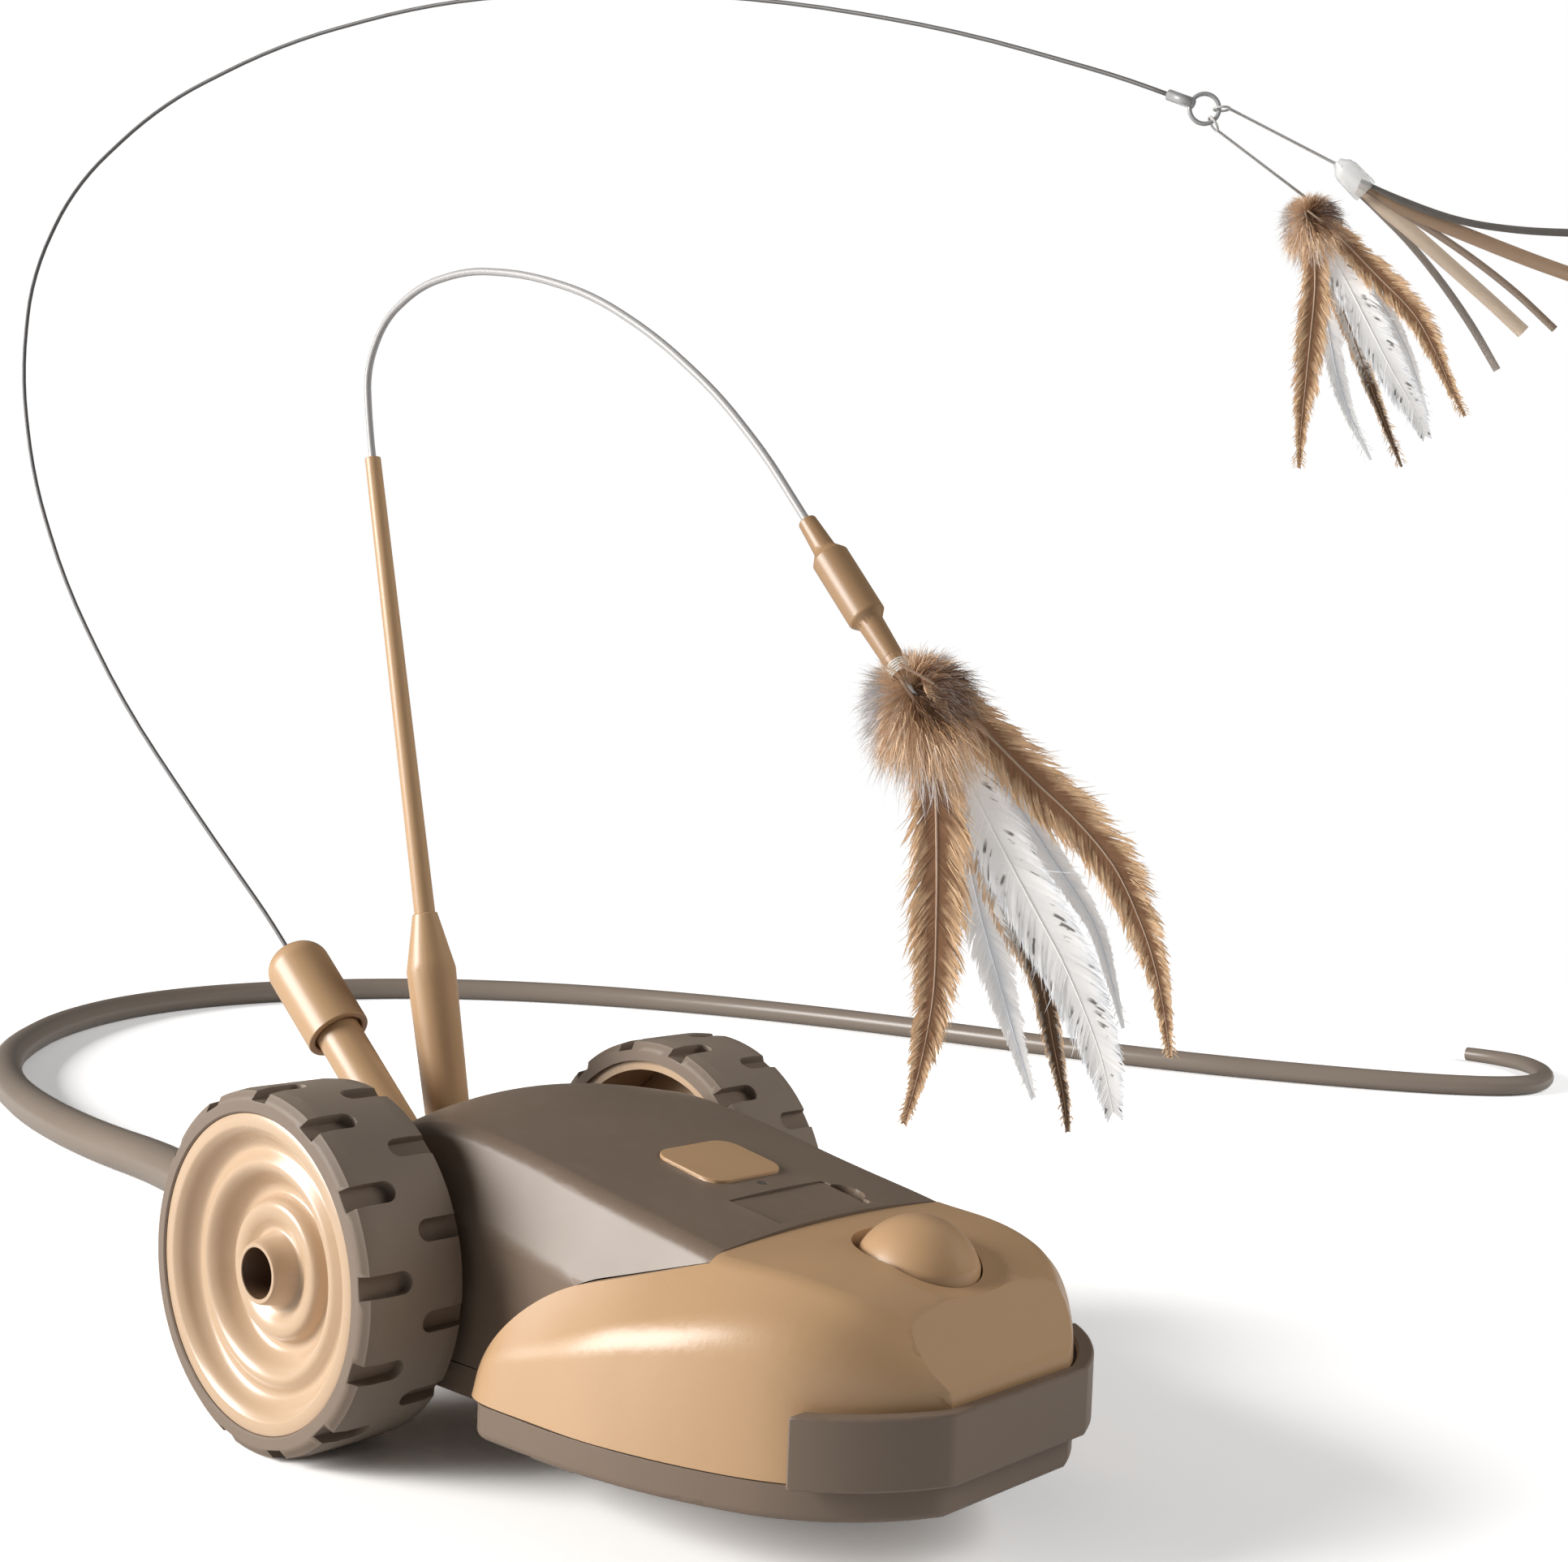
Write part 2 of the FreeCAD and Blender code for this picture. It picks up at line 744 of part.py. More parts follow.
def deck_cuts():
    flap_w = flap_width + 2 * flap_gap
    flap_l = flap_length + 2 * flap_gap
    recess = rounded_plate(flap_w, flap_l, 1.2, -flap_recess_depth, 5)
    hinge_side = box(-flap_w / 2, 0, -flap_l / 2, flap_l / 2, -flap_recess_depth, 5)
    recess = recess.fuse(hinge_side)
    port = rounded_plate(11.0, 6.0, 1.5, -12, 1)
    pin_hole = rod(pin_diameter / 2, V(flap_axis_x, -flap_l / 2 - 1.5, flap_axis_z),
                   V(flap_axis_x, flap_l / 2 + 1.5, flap_axis_z))
    notch = rod(notch_radius, V(flap_w / 2 - 1.4, 0, -1.3), V(flap_w / 2 - 1.4, 0, 5))
    plate = rounded_plate(badge_width, badge_length, 4.0, badge_proud - badge_thickness, 5)
    hole = rod(light_radius, V(0, 0, -12), V(0, 0, 5))
    return [on_deck(s, flap_y) for s in (recess, port, pin_hole, notch)] + [
        on_deck(plate, badge_y), on_deck(hole, light_y)]


def deck_pads(outer):
    """Thicker deck under the flap and the badge."""
    pad = on_deck(rounded_plate(flap_width + 5, flap_length + 3.4, 2.0, -4.2, 1), flap_y)
    badge_pad = on_deck(rounded_plate(badge_width + 3, badge_length + 1.4, 4.0, -3.0, 1), badge_y)
    return [pad.common(outer), badge_pad.common(outer)]


# Rear socket block: two angled sockets for the wands in one moulding

def socket_outer(mouth, direction, diameter, depth):
    radius = diameter / 2 + socket_gap + socket_wall
    return rod(radius, along(mouth, direction, -depth), mouth)


def socket_collar_ring(mouth, direction, diameter, proud):
    start = along(mouth, direction, -socket_collar_length)
    return rod(diameter / 2 + socket_collar, start, along(mouth, direction, proud))


def socket_bore(mouth, direction, end, diameter):
    return rod(diameter / 2 + socket_gap, along(end, direction, -0.2), along(mouth, direction, 5))


def socket_block():
    a = socket_outer(socket_a_mouth, wand_a_dir, holder_a_diameter, socket_a_depth)
    b = socket_outer(socket_b_mouth, wand_b_dir, handle_b_diameter, socket_b_depth)
    block = a.fuse(b)
    collar_a = socket_collar_ring(socket_a_mouth, wand_a_dir, holder_a_diameter, 0)
    collar_b = socket_collar_ring(socket_b_mouth, wand_b_dir, handle_b_diameter, 0)
    web = box(wand_a_x, wand_b_x, 12.0, 22.5, socket_web_z - 2.0, socket_web_z + 2.0)
    block = block.fuse([collar_a, collar_b, web])
    bores = [
        socket_bore(socket_a_mouth, wand_a_dir, wand_a_end, holder_a_diameter),
        socket_bore(socket_b_mouth, wand_b_dir, wand_b_end, handle_b_diameter),
    ]
    return block.cut(group(bores))


def socket_clearance():
    a = socket_outer(socket_a_mouth, wand_a_dir, holder_a_diameter, socket_a_depth)
    b = socket_outer(socket_b_mouth, wand_b_dir, handle_b_diameter, socket_b_depth)
    collar_a = socket_collar_ring(socket_a_mouth, wand_a_dir, holder_a_diameter, 20)
    collar_b = socket_collar_ring(socket_b_mouth, wand_b_dir, handle_b_diameter, 20)
    return [a, b, collar_a, collar_b]


save("rear_socket_block", socket_block())

# Top cover: crowned deck, leaning sides and a rounded rear

def top_cover():
    outer = cover_body(0)
    shell = outer.cut(cover_body(wall))
    for x, y in screw_places[:2] + screw_places[3:5]:
        shell = shell.fuse(boss(x, y, outer))
    for pad in deck_pads(outer):
        shell = shell.fuse(pad)
    shell = shell.cut(box(-80, 80, -150, 80, -30, base_height + seam_gap))
    shell = shell.cut(seam_region(-seam_gap))
    for x, y in screw_places:
        shell = shell.cut(pilot(x, y))
    for side in (-1, 1):
        shell = shell.cut(rod(axle_diameter / 2 + 0.6, V(side * 20, 0, axle_z), V(side * 60, 0, axle_z)))
    for cut in deck_cuts() + socket_clearance():
        shell = shell.cut(cut)
    return shell.cut(rod(ferrule_plug / 2, V(0, 10, tail_exit_z), V(0, 60, tail_exit_z)))


save("top_cover", top_cover())

# Charging port under the flap, and the room that the nose leaves it

port_half = 4.5
port_reach = 1.6
port_wall = 0.5
port_height = 7.3
riser_thickness = 1.0
port_gap = 0.4
port_top = deck_z(flap_y) - flap_recess_depth - 0.6
port_space = box(-port_half - port_gap, port_half + port_gap, flap_y - port_reach - riser_thickness - port_gap,
                 flap_y + port_reach + port_gap, board_top, port_top + port_gap)

# Nose cover: side faces, shoulders and a sloping front face, with the button's dish

dish_tilt = math.radians(18.0)


def nose_cover():
    outer = nose_body(0)
    shell = outer.cut(nose_body(wall))
    seam_wall = outer.common(seam_region(0.0)).cut(seam_region(wall)).cut(cover_body(-seam_gap))
    shell = shell.fuse(seam_wall)
    guide_foot = V(0, button_y, button_flange_z + button_flange + 0.3)
    guide = rod(button_radius + button_gap + button_guide, guide_foot, V(0, button_y, 60))
    shell = shell.fuse(guide.common(outer))
    for x, y in screw_places[2:3] + screw_places[5:6]:
        shell = shell.fuse(boss(x, y, outer))
        shell = shell.cut(pilot(x, y))
    dish = Part.makeSphere(dish_radius, V(0, dish_y, dish_z))
    dish.translate(V(0, -math.sin(dish_tilt), math.cos(dish_tilt)) * (dish_radius - dish_depth))
    shell = shell.cut(dish)
    shell = shell.cut(rod(button_radius + button_gap, V(0, button_y, 0), V(0, button_y, 60)))
    shell = shell.cut(box(-80, 80, -150, 80, -30, base_height + seam_gap))
    return shell.common(seam_region(0.0)).cut(port_space)


save("nose_cover", nose_cover())


def bumper():
    """Band round the front, proud of the nose, between its two end steps."""
    z0 = base_height + seam_gap
    z1 = base_height + bumper_height
    outer = outline_prism(-bumper_thickness, z0, z1)
    inner = outline_prism(-0.1, z0 - 1, z1 + 1)
    band = outer.cut(inner)
    band = band.common(box(-80, 80, front_y - 20, bumper_end_y, -30, 80))
    return band


save("front_bumper", bumper())

# Power button: a hollow dome with a flange and a stem over the switch

dome_radius = (button_radius ** 2 + button_rise ** 2) / (2 * button_rise)
dome_centre_z = button_base_z + button_rise - dome_radius
spring_top_z = button_base_z + 0.4


def power_button():
    ball = Part.makeSphere(dome_radius, V(0, button_y, dome_centre_z))
    skirt = rod(button_radius, V(0, button_y, button_flange_z), V(0, button_y, button_base_z + button_rise))
    dome = ball.fuse(rod(button_radius, V(0, button_y, 0), V(0, button_y, button_base_z))).common(skirt)
    dome = dome.fuse(rod(button_flange_radius, V(0, button_y, button_flange_z),
                         V(0, button_y, button_flange_z + button_flange)))
    dome = dome.cut(rod(button_radius - button_wall, V(0, button_y, 0), V(0, button_y, spring_top_z)))
    stem_end = board_top + switch_height + plunger_height + button_travel + 0.1
    stem = rod(2.2, V(0, button_y, stem_end), V(0, button_y, spring_top_z + 0.5))
    return dome.fuse(stem)


save("power_button", power_button())

spring_radius = 6.0
spring_wire = 0.7
spring_turns = 5.0


spring_bottom = board_top + spring_wire / 2
spring_height = spring_top_z - 0.05 - spring_wire / 2 - spring_bottom
button_spring, spring_pitch_gap, spring_check = coil(spring_radius, spring_wire, spring_height, spring_turns)
button_spring.translate(V(0, button_y, spring_bottom))
save("button_spring", button_spring)
print("spring gap between turns", round(spring_pitch_gap, 2), "volume over section times length",
      round(spring_check, 4))

# Electronics

board = box(-board_half, board_half, -114, -62, board_z, board_top)
board = board.cut(group([rod(1.1, V(x, y, 0), V(x, y, 40)) for x in (-12, 12) for y in board_posts]))
save("circuit_board", board)

switch_body = box(-3, 3, button_y - 3, button_y + 3, board_top, board_top + switch_height)
switch_top = board_top + switch_height
plunger = rod(1.6, V(0, button_y, switch_top), V(0, button_y, switch_top + plunger_height))
save("button_switch", switch_body.fuse(plunger))

port_shell = box(-port_half, port_half, flap_y - port_reach, flap_y + port_reach, port_top - port_height, port_top)
port_mouth = box(port_wall - port_half, port_half - port_wall, flap_y - port_reach + port_wall,
                 flap_y + port_reach - port_wall, port_top - 6.0, port_top + 1)
tongue = box(-3.2, 3.2, flap_y - 0.35, flap_y + 0.35, port_top - 6.0, port_top - 0.6)
riser = box(-port_half, port_half, flap_y - port_reach - riser_thickness, flap_y - port_reach, board_top,
            port_top - 2.5)
save("charging_port", port_shell.cut(port_mouth).fuse([tongue, riser]))

bx, by, bz = battery_size
battery = box(-bx / 2, bx / 2, battery_y - by / 2, battery_y + by / 2, wall, wall + bz)
long_edges = [e for e in battery.Edges if abs(e.tangentAt(e.FirstParameter).y) > 0.9]
save("battery", battery.makeFillet(2.5, long_edges))

# Caster: a ball in a snap cup under the nose

ball_z = ground_z + ball_radius


def caster_housing():
    low = ball_z - 3.0
    cup = rod(cup_radius, V(0, caster_y, low), V(0, caster_y, caster_relief))
    neck_top = ball_z + ball_radius + ball_gap + 1.2
    neck = rod(ball_radius + 1.1, V(0, caster_y, 0), V(0, caster_y, neck_top))
    return cup.fuse(neck).cut(Part.makeSphere(ball_radius + ball_gap, V(0, caster_y, ball_z)))


save("caster_housing", caster_housing())
save("caster_ball", Part.makeSphere(ball_radius, V(0, caster_y, ball_z)))

# Gears

def gear(teeth, x0, x1, y, z, phase):
    """Spur gear about X; phase turns it so that a tooth points along +Y at phase 0."""
    pitch_r = teeth * gear_module / 2
    tip_r = pitch_r + 0.9 * gear_module
    root_r = pitch_r - 1.15 * gear_module
    pitch_angle = 2 * math.pi / teeth
    points = []
    for i in range(teeth):
        a = i * pitch_angle + phase
        for r, share in ((root_r, -0.36), (pitch_r, -0.225), (tip_r, -0.11),
                         (tip_r, 0.11), (pitch_r, 0.225), (root_r, 0.36)):
            t = a + share * pitch_angle
            points.append(V(x0, y + r * math.cos(t), z + r * math.sin(t)))
    return polygon_face(points).extrude(V(x1 - x0, 0, 0))



def half_tooth(teeth):
    return math.pi / teeth


def drive_gear():
    g = gear(wheel_teeth, gear_x0, gear_x1, 0, axle_z, math.pi)
    hub = rod(4.0, V(gear_x0, 0, axle_z), V(gear_x1 + 3.0, 0, axle_z))
    g = g.fuse(hub)
    return g.cut(rod(axle_diameter / 2, V(0, 0, axle_z), V(60, 0, axle_z)))


def idler_gear():
    small = gear(idler_small_teeth, gear_x0 - 0.2, big_x0, idler_y, axle_z, half_tooth(idler_small_teeth))
    big = gear(idler_big_teeth, big_x0, big_x1, idler_y, axle_z, math.pi)
    g = small.fuse(big)
    return g.cut(rod(idler_pin_diameter / 2 + running_gap, V(0, idler_y, axle_z), V(60, idler_y, axle_z)))


def pinion():
    g = gear(pinion_teeth, big_x0, big_x1, motor_y, axle_z, half_tooth(pinion_teeth))
    return g.fuse(rod(motor_shaft_diameter / 2, V(big_x0 - 4.0, motor_y, axle_z), V(big_x1, motor_y, axle_z)))


def motor():
    front = big_x0 - 0.7
    motor_length = front - 0.8 - motor_centre_gap
    can = rod(motor_radius, V(front - motor_length, motor_y, axle_z), V(front, motor_y, axle_z))
    flats = box(0, 60, motor_y - 10, motor_y + 10, axle_z - motor_radius + 1, axle_z + motor_radius - 1)
    can = can.common(flats)
    step = rod(2.2, V(front - motor_length - 0.8, motor_y, axle_z), V(front - motor_length, motor_y, axle_z))
    hole_radius = motor_shaft_diameter / 2 + running_gap
    shaft_hole = rod(hole_radius, V(front - 5, motor_y, axle_z), V(front + 1, motor_y, axle_z))
    seam = rod(motor_radius + 1, V(front - 9.4, motor_y, axle_z), V(front - 9.0, motor_y, axle_z))
    seam = seam.cut(rod(motor_radius - 0.3, V(front - 10, motor_y, axle_z), V(front - 8, motor_y, axle_z)))
    return can.cut(seam).fuse(step).cut(shaft_hole)


bush_radius = 3.2


def gear_bracket():
    """Two plates that carry the axle bush, the idler's pin and the motor's nose."""
    y0, y1 = motor_y - 8, 13.0
    z1 = axle_z + 9.0
    outer_plate = box(plate_out, plate_out + plate_thickness, y0, y1, wall, z1)
    inner_plate = box(plate_in, plate_in + plate_thickness, y0, y1, wall, z1)
    bridge = box(plate_in, plate_out + plate_thickness, y1, y1 + 2.0, wall, z1)
    bracket = outer_plate.fuse([inner_plate, bridge])
    outside = box(0, 60, y0 - 1, y1 + 5, base_height + 1, 60).cut(cover_body(wall + 0.3))
    bracket = bracket.cut(outside)
    bracket = bracket.cut(rod(bush_radius, V(plate_in - 1, 0, axle_z), V(60, 0, axle_z)))
    bracket = bracket.cut(rod(idler_pin_diameter / 2, V(0, idler_y, axle_z), V(60, idler_y, axle_z)))
    bracket = bracket.cut(rod(motor_radius + 0.1, V(0, motor_y, axle_z), V(big_x0, motor_y, axle_z)))
    bracket = bracket.cut(rod(2.6, V(big_x1 - 1, motor_y, axle_z), V(60, motor_y, axle_z)))
    return bracket


def bush(x0, x1):
    outer = rod(bush_radius, V(x0, 0, axle_z), V(x1, 0, axle_z))
    return outer.cut(rod(axle_diameter / 2 + running_gap, V(x0 - 1, 0, axle_z), V(x1 + 1, 0, axle_z)))


bush_in = bush(plate_in, plate_in + plate_thickness)
bush_out = bush(plate_out, plate_out + plate_thickness)
pin_end = V(plate_out + plate_thickness, idler_y, axle_z)
idler_pin = rod(idler_pin_diameter / 2, V(plate_in, idler_y, axle_z), pin_end)
save("axle_bushes", group([bush_in, bush_out, mirrored(bush_in), mirrored(bush_out)]))
save("idler_pins", group([idler_pin, mirrored(idler_pin)]))

# Wheels

hub_bore_end = wheel_out - 0.8 - hub_bore_length
axle_outer = hub_bore_end - hub_head_height


def axle():
    return rod(axle_diameter / 2, V(plate_in - 1.5, 0, axle_z), V(axle_outer, 0, axle_z))


def hub_screw():
    head = rod(hub_head_radius, V(axle_outer, 0, axle_z), V(hub_bore_end, 0, axle_z))
    slot = box(hub_bore_end - 0.8, hub_bore_end + 1, -2.4, 2.4, axle_z - 0.4, axle_z + 0.4)
    cross = box(hub_bore_end - 0.8, hub_bore_end + 1, -0.4, 0.4, axle_z - 2.4, axle_z + 2.4)
    return head.cut(group([slot, cross]))


def wheel_disc():
    """Rim, stepped face and hub tube turned about the axle."""
    out = wheel_out
    inside = wheel_in + 1.2
    r = disc_radius
    profile = [
        (inside, r - rim_wall), (inside, r), (out - 0.5, r), (out - 0.3, r - 0.4),
        (out - 0.3, r - 2.6), (out - 1.2, r - 4.0), (out - 3.4, r - 5.6), (out - 3.2, r - 7.6),
        (out - 3.6, r - 9.6), (out - 5.6, r - 11.6), (out - 6.0, r - 13.0), (out - 6.0, 13.2),
        (out - 4.6, 12.4), (out - 4.4, 9.2), (out - 5.2, 8.6), (out - 5.2, hub_bore_radius + hub_wall),
        (out - 0.8, hub_bore_radius + hub_wall), (out - 0.8, hub_bore_radius),
        (hub_bore_end, hub_bore_radius), (hub_bore_end, hub_head_radius), (axle_outer, hub_head_radius),
        (axle_outer, axle_diameter / 2), (wheel_in + 0.8, axle_diameter / 2), (wheel_in + 0.8, 6.0),
        (out - 8.6, 7.2), (out - 8.6, r - 12.0), (out - 6.2, r - 7.6), (out - 6.2, r - 5.0),
        (out - 5.4, r - rim_wall),
    ]
    return turned(profile, V(0, 0, axle_z))


def tread_slot(phase, x0, x1, closed_x):
    """One rounded-end slot across the tread, open at the tyre's shoulder."""
    radius = wheel_diameter / 2
    bar = box(min(x0, x1), max(x0, x1), -slot_width / 2, slot_width / 2, radius - slot_depth, radius + 2)
    end = rod(slot_width / 2, V(closed_x, 0, radius - slot_depth), V(closed_x, 0, radius + 2))
    slot = bar.fuse(end)
    slot.rotate(V(0, 0, 0), X, phase)
    slot.translate(V(0, 0, axle_z))
    return slot


def tyre():
    r = wheel_diameter / 2
    c = shoulder_chamfer
    x0, x1 = wheel_in, wheel_out
    profile = [
        (x0, disc_radius), (x0, r - 1.6 * c), (x0 + c, r - 0.35), (x0 + 3 * c, r), (x1 - 3 * c, r),
        (x1 - c, r - 0.35), (x1, r - 1.6 * c), (x1, disc_radius + 0.3), (x1 - 0.3, disc_radius),
    ]
    solid = turned(profile, V(0, 0, axle_z))
    pitch = 360.0 / tread_slots
    slots = []
    for i in range(tread_slots):
        inner_end = x1 - slot_length + slot_width / 2
        slots.append(tread_slot(i * pitch, inner_end, x1 + 1, inner_end))
        outer_end = x0 + slot_length - slot_width / 2
        slots.append(tread_slot((i + 0.5) * pitch, x0 - 1, outer_end, outer_end))
    return solid.cut(group(slots))


for side, keep in (("right", lambda s: s), ("left", mirrored)):
    save("tyre_" + side, keep(tyre()))
    save("wheel_disc_" + side, keep(wheel_disc()))
    save("axle_" + side, keep(axle()))
    save("hub_screw_" + side, keep(hub_screw()))
    save("drive_gear_" + side, keep(drive_gear()))
    save("idler_gear_" + side, keep(idler_gear()))
    save("motor_pinion_" + side, keep(pinion()))
    save("motor_" + side, keep(motor()))
    save("gear_bracket_" + side, keep(gear_bracket()))

# Tail ferrule: a stepped collar on the rear, closed on the tail's end

def tail_ferrule():
    face = V(0, tail_start_y, tail_exit_z)
    root = V(0, rear_y, tail_exit_z)
    collar = cone(ferrule_diameter / 2, tail_diameter / 2 + 2.2, root, face)
    plug = rod(ferrule_plug / 2, root - Y * 4.0, root + Y * 1.0)
    return collar.fuse(plug)


save("tail_ferrule", tail_ferrule())

# Wand A: holder tube, domed cap and a long spring wire

holder_a = rod(holder_a_diameter / 2, wand_a_end, along(wand_a_lip, wand_a_dir, cap_a_overlap))
save("wand_a_holder", holder_a)


def wand_a_cap():
    round_r = 5.0
    body = rod(cap_a_diameter / 2, wand_a_lip, wand_a_top)
    top_edge = [e for e in body.Edges if (e.CenterOfMass - wand_a_top).Length < 0.5]
    body = body.makeFillet(round_r, top_edge)
    below_lip = along(wand_a_lip, wand_a_dir, -1)
    hollow = rod(cap_a_diameter / 2 - cap_a_wall, below_lip, along(wand_a_lip, wand_a_dir, cap_a_hollow))
    seat = rod(holder_a_diameter / 2, below_lip, along(wand_a_lip, wand_a_dir, cap_a_overlap))
    wire_hole = rod(wire_a_diameter / 2, along(wand_a_top, wand_a_dir, -6), along(wand_a_top, wand_a_dir, 2))
    return body.cut(group([hollow]).fuse(seat)).cut(wire_hole)


save("wand_a_cap", wand_a_cap())
wire_a, wire_a_radii, wire_a_length, wire_a_check = tube(wire_a_route, wire_a_diameter)
save("wand_a_wire", wire_a)
print("wire a length", round(wire_a_length, 1), round(wire_a_check, 4), [round(r) for r in wire_a_radii])

# Wand B: two stage rod with a cone between them and a bowed wire

plug_b = rod(handle_b_diameter / 2, wand_b_end, along(socket_b_mouth, wand_b_dir, 0.5))
sleeve_b_start = along(socket_b_mouth, wand_b_dir, 0.5)
sleeve_b = cone(handle_b_diameter / 2, shoulder_b_diameter / 2, sleeve_b_start, wand_b_shoulder)
taper_b = cone(shoulder_b_diameter / 2, rod_b_diameter / 2 + 0.4, wand_b_shoulder, wand_b_cone)
lower_start = along(wand_b_cone, wand_b_dir, -rod_b_seat)
lower_end = along(wand_b_cone, wand_b_dir, 1.0)
rod_seat = rod(rod_b_diameter / 2, lower_start, lower_end)
save("wand_b_handle", plug_b.fuse([sleeve_b, taper_b]).cut(rod_seat))
upper_rod = cone(rod_b_diameter / 2, rod_b_tip_diameter / 2, lower_end, wand_b_rod_top)
wire_seat_start = along(wand_b_rod_top, wand_b_dir, -wire_b_seat)
wire_seat = rod(wire_b_diameter / 2, wire_seat_start, along(wand_b_rod_top, wand_b_dir, 1))
save("wand_b_rod", rod_seat.fuse(upper_rod).cut(wire_seat))
wire_b, wire_b_radii, wire_b_length, wire_b_check = tube(wire_b_route, wire_b_diameter)
save("wand_b_wire", wire_b)
print("wire b length", round(wire_b_length, 1), round(wire_b_check, 4), [round(r) for r in wire_b_radii])

# Lures. Each one lies in an upright plane; points are (right, up) in that plane from its anchor.

plane_angle = math.radians(-48.157)
plane_right = V(math.cos(plane_angle), math.sin(plane_angle), 0)
plane_away = V(-math.sin(plane_angle), math.cos(plane_angle), 0)


def in_plane(anchor, right, up, depth=0.0):
    return anchor + plane_right * right + Z * up + plane_away * depth


def blade(anchor, spine, widths, depth, thickness):
    """Flat strip with a smooth outline along a spine, width given at each spine point."""
    left = []
    right = []
    for i, (r, u) in enumerate(spine):
        before = spine[max(i - 1, 0)]
        after = spine[min(i + 1, len(spine) - 1)]
        dr, du = after[0] - before[0], after[1] - before[1]
        length = math.hypot(dr, du)
        nr, nu = -du / length * widths[i] / 2, dr / length * widths[i] / 2
        left.append(in_plane(anchor, r + nr, u + nu, depth))
        right.append(in_plane(anchor, r - nr, u - nu, depth))
    one = Part.BSplineCurve()
    one.interpolate(left)
    two = Part.BSplineCurve()
    two.interpolate(right)
    edges = [
        one.toShape(),
        Part.LineSegment(left[-1], right[-1]).toShape(),
        two.toShape(),
        Part.LineSegment(right[0], left[0]).toShape(),
    ]
    wire = Part.Wire(Part.__sortEdges__(edges))
    return Part.Face(wire).extrude(plane_away * thickness)


def fluff(anchor, right, up, half_width, half_height):
    """Egg-shaped tuft turned about an upright axis."""
    ball = Part.makeSphere(half_width, V(0, 0, 0))
    stretch = FreeCAD.Matrix()
    stretch.scale(1.0, 1.0, half_height / half_width)
    egg = ball.transformGeometry(stretch)
    egg.translate(in_plane(anchor, right, up))
    return egg


# Lure B: connector on the wire's end, tie, tuft and five feathers

wire_b_end = wire_b_route[-1]
lure_b_dir = (wire_b_route[-1] - wire_b_route[-2]).normalize()
connector_start = along(wire_b_end, lure_b_dir, -4.0)
body_start = along(wire_b_end, lure_b_dir, 3.0)
body_end = along(body_start, lure_b_dir, 17.0)
connector_end = along(body_end, lure_b_dir, 8.0)


def lure_b_connector():
    neck = cone(1.7, 2.1, connector_start, body_start)
    shoulder = cone(2.1, 3.45, body_start, along(body_start, lure_b_dir, 2.0))
    body = rod(3.45, along(body_start, lure_b_dir, 2.0), along(body_end, lure_b_dir, -1.5))
    heel = cone(3.45, 2.3, along(body_end, lure_b_dir, -1.5), body_end)
    tail_end = cone(2.3, 2.0, body_end, connector_end)
    whole = neck.fuse([shoulder, body, heel, tail_end])
    return whole.cut(rod(wire_b_diameter / 2 + running_gap, connector_start, wire_b_end))


save("lure_b_connector", lure_b_connector())
tie_start = along(connector_end, lure_b_dir, -3.0)
tie_end = along(connector_end, lure_b_dir, 4.0)
tie_b = rod(2.9, tie_start, tie_end).cut(rod(2.0, tie_start, connector_end).fuse(lure_b_connector()))
save("lure_b_tie", tie_b)

anchor_b = connector_end
feathers_b_shapes = [
    ([(2.5, -9.0), (5.5, -24.0), (8.0, -42.0), (7.6, -61.0), (3.8, -79.0)],
     (2.0, 6.0, 9.5, 8.0, 0.8), -3.0),
    ([(7.5, -6.0), (20.0, -15.0), (33.0, -28.0), (43.0, -45.0), (48.5, -62.5)],
     (2.0, 6.0, 9.5, 8.0, 0.8), -1.0),
    ([(8.0, -11.0), (17.0, -26.0), (27.0, -42.0), (35.0, -58.0), (42.0, -74.0)],
     (2.0, 7.0, 11.0, 8.0, 0.8), 1.0),
    ([(6.5, -12.0), (15.0, -28.0), (24.0, -48.0), (29.0, -64.0), (32.0, -78.0)],
     (1.6, 4.0, 6.0, 5.0, 0.8), 3.0),
    ([(4.5, -13.0), (10.0, -28.0), (16.0, -44.0), (21.0, -59.0), (25.6, -72.0)],
     (1.6, 5.0, 8.0, 6.5, 0.8), 5.0),
]
feather_thickness = 0.7
feathers_b = [blade(anchor_b, spine, widths, depth, feather_thickness)
              for spine, widths, depth in feathers_b_shapes]
fluff_b = fluff(anchor_b, 4.5, -4.0, 11.0, 9.5).cut(group(feathers_b + [tie_b, lure_b_connector()]))
save("feathers_b", group(feathers_b))
save("fluff_b", fluff_b)

# Wand A: crimped ring on the wire's end, with a ribbon lure and a feather lure on leaders

ring_radius = 3.0
ring_wire = 0.45
loop_radius = 1.6
loop_wire = 0.25
wire_a_end = wire_a_route[-1]
wire_a_dir = (wire_a_route[-1] - wire_a_route[-2]).normalize()
ring_hang = math.radians(21)
ring_centre = in_plane(wire_a_end, ring_radius * math.cos(ring_hang), -ring_radius * math.sin(ring_hang))


def lure_ring():
    ring = Part.makeTorus(ring_radius, ring_wire, ring_centre, plane_away)
    crimp = rod(1.1, along(wire_a_end, wire_a_dir, -5.5), along(wire_a_end, wire_a_dir, 0.5))
    return crimp.fuse(ring).cut(wire_a)


save("lure_ring", lure_ring())


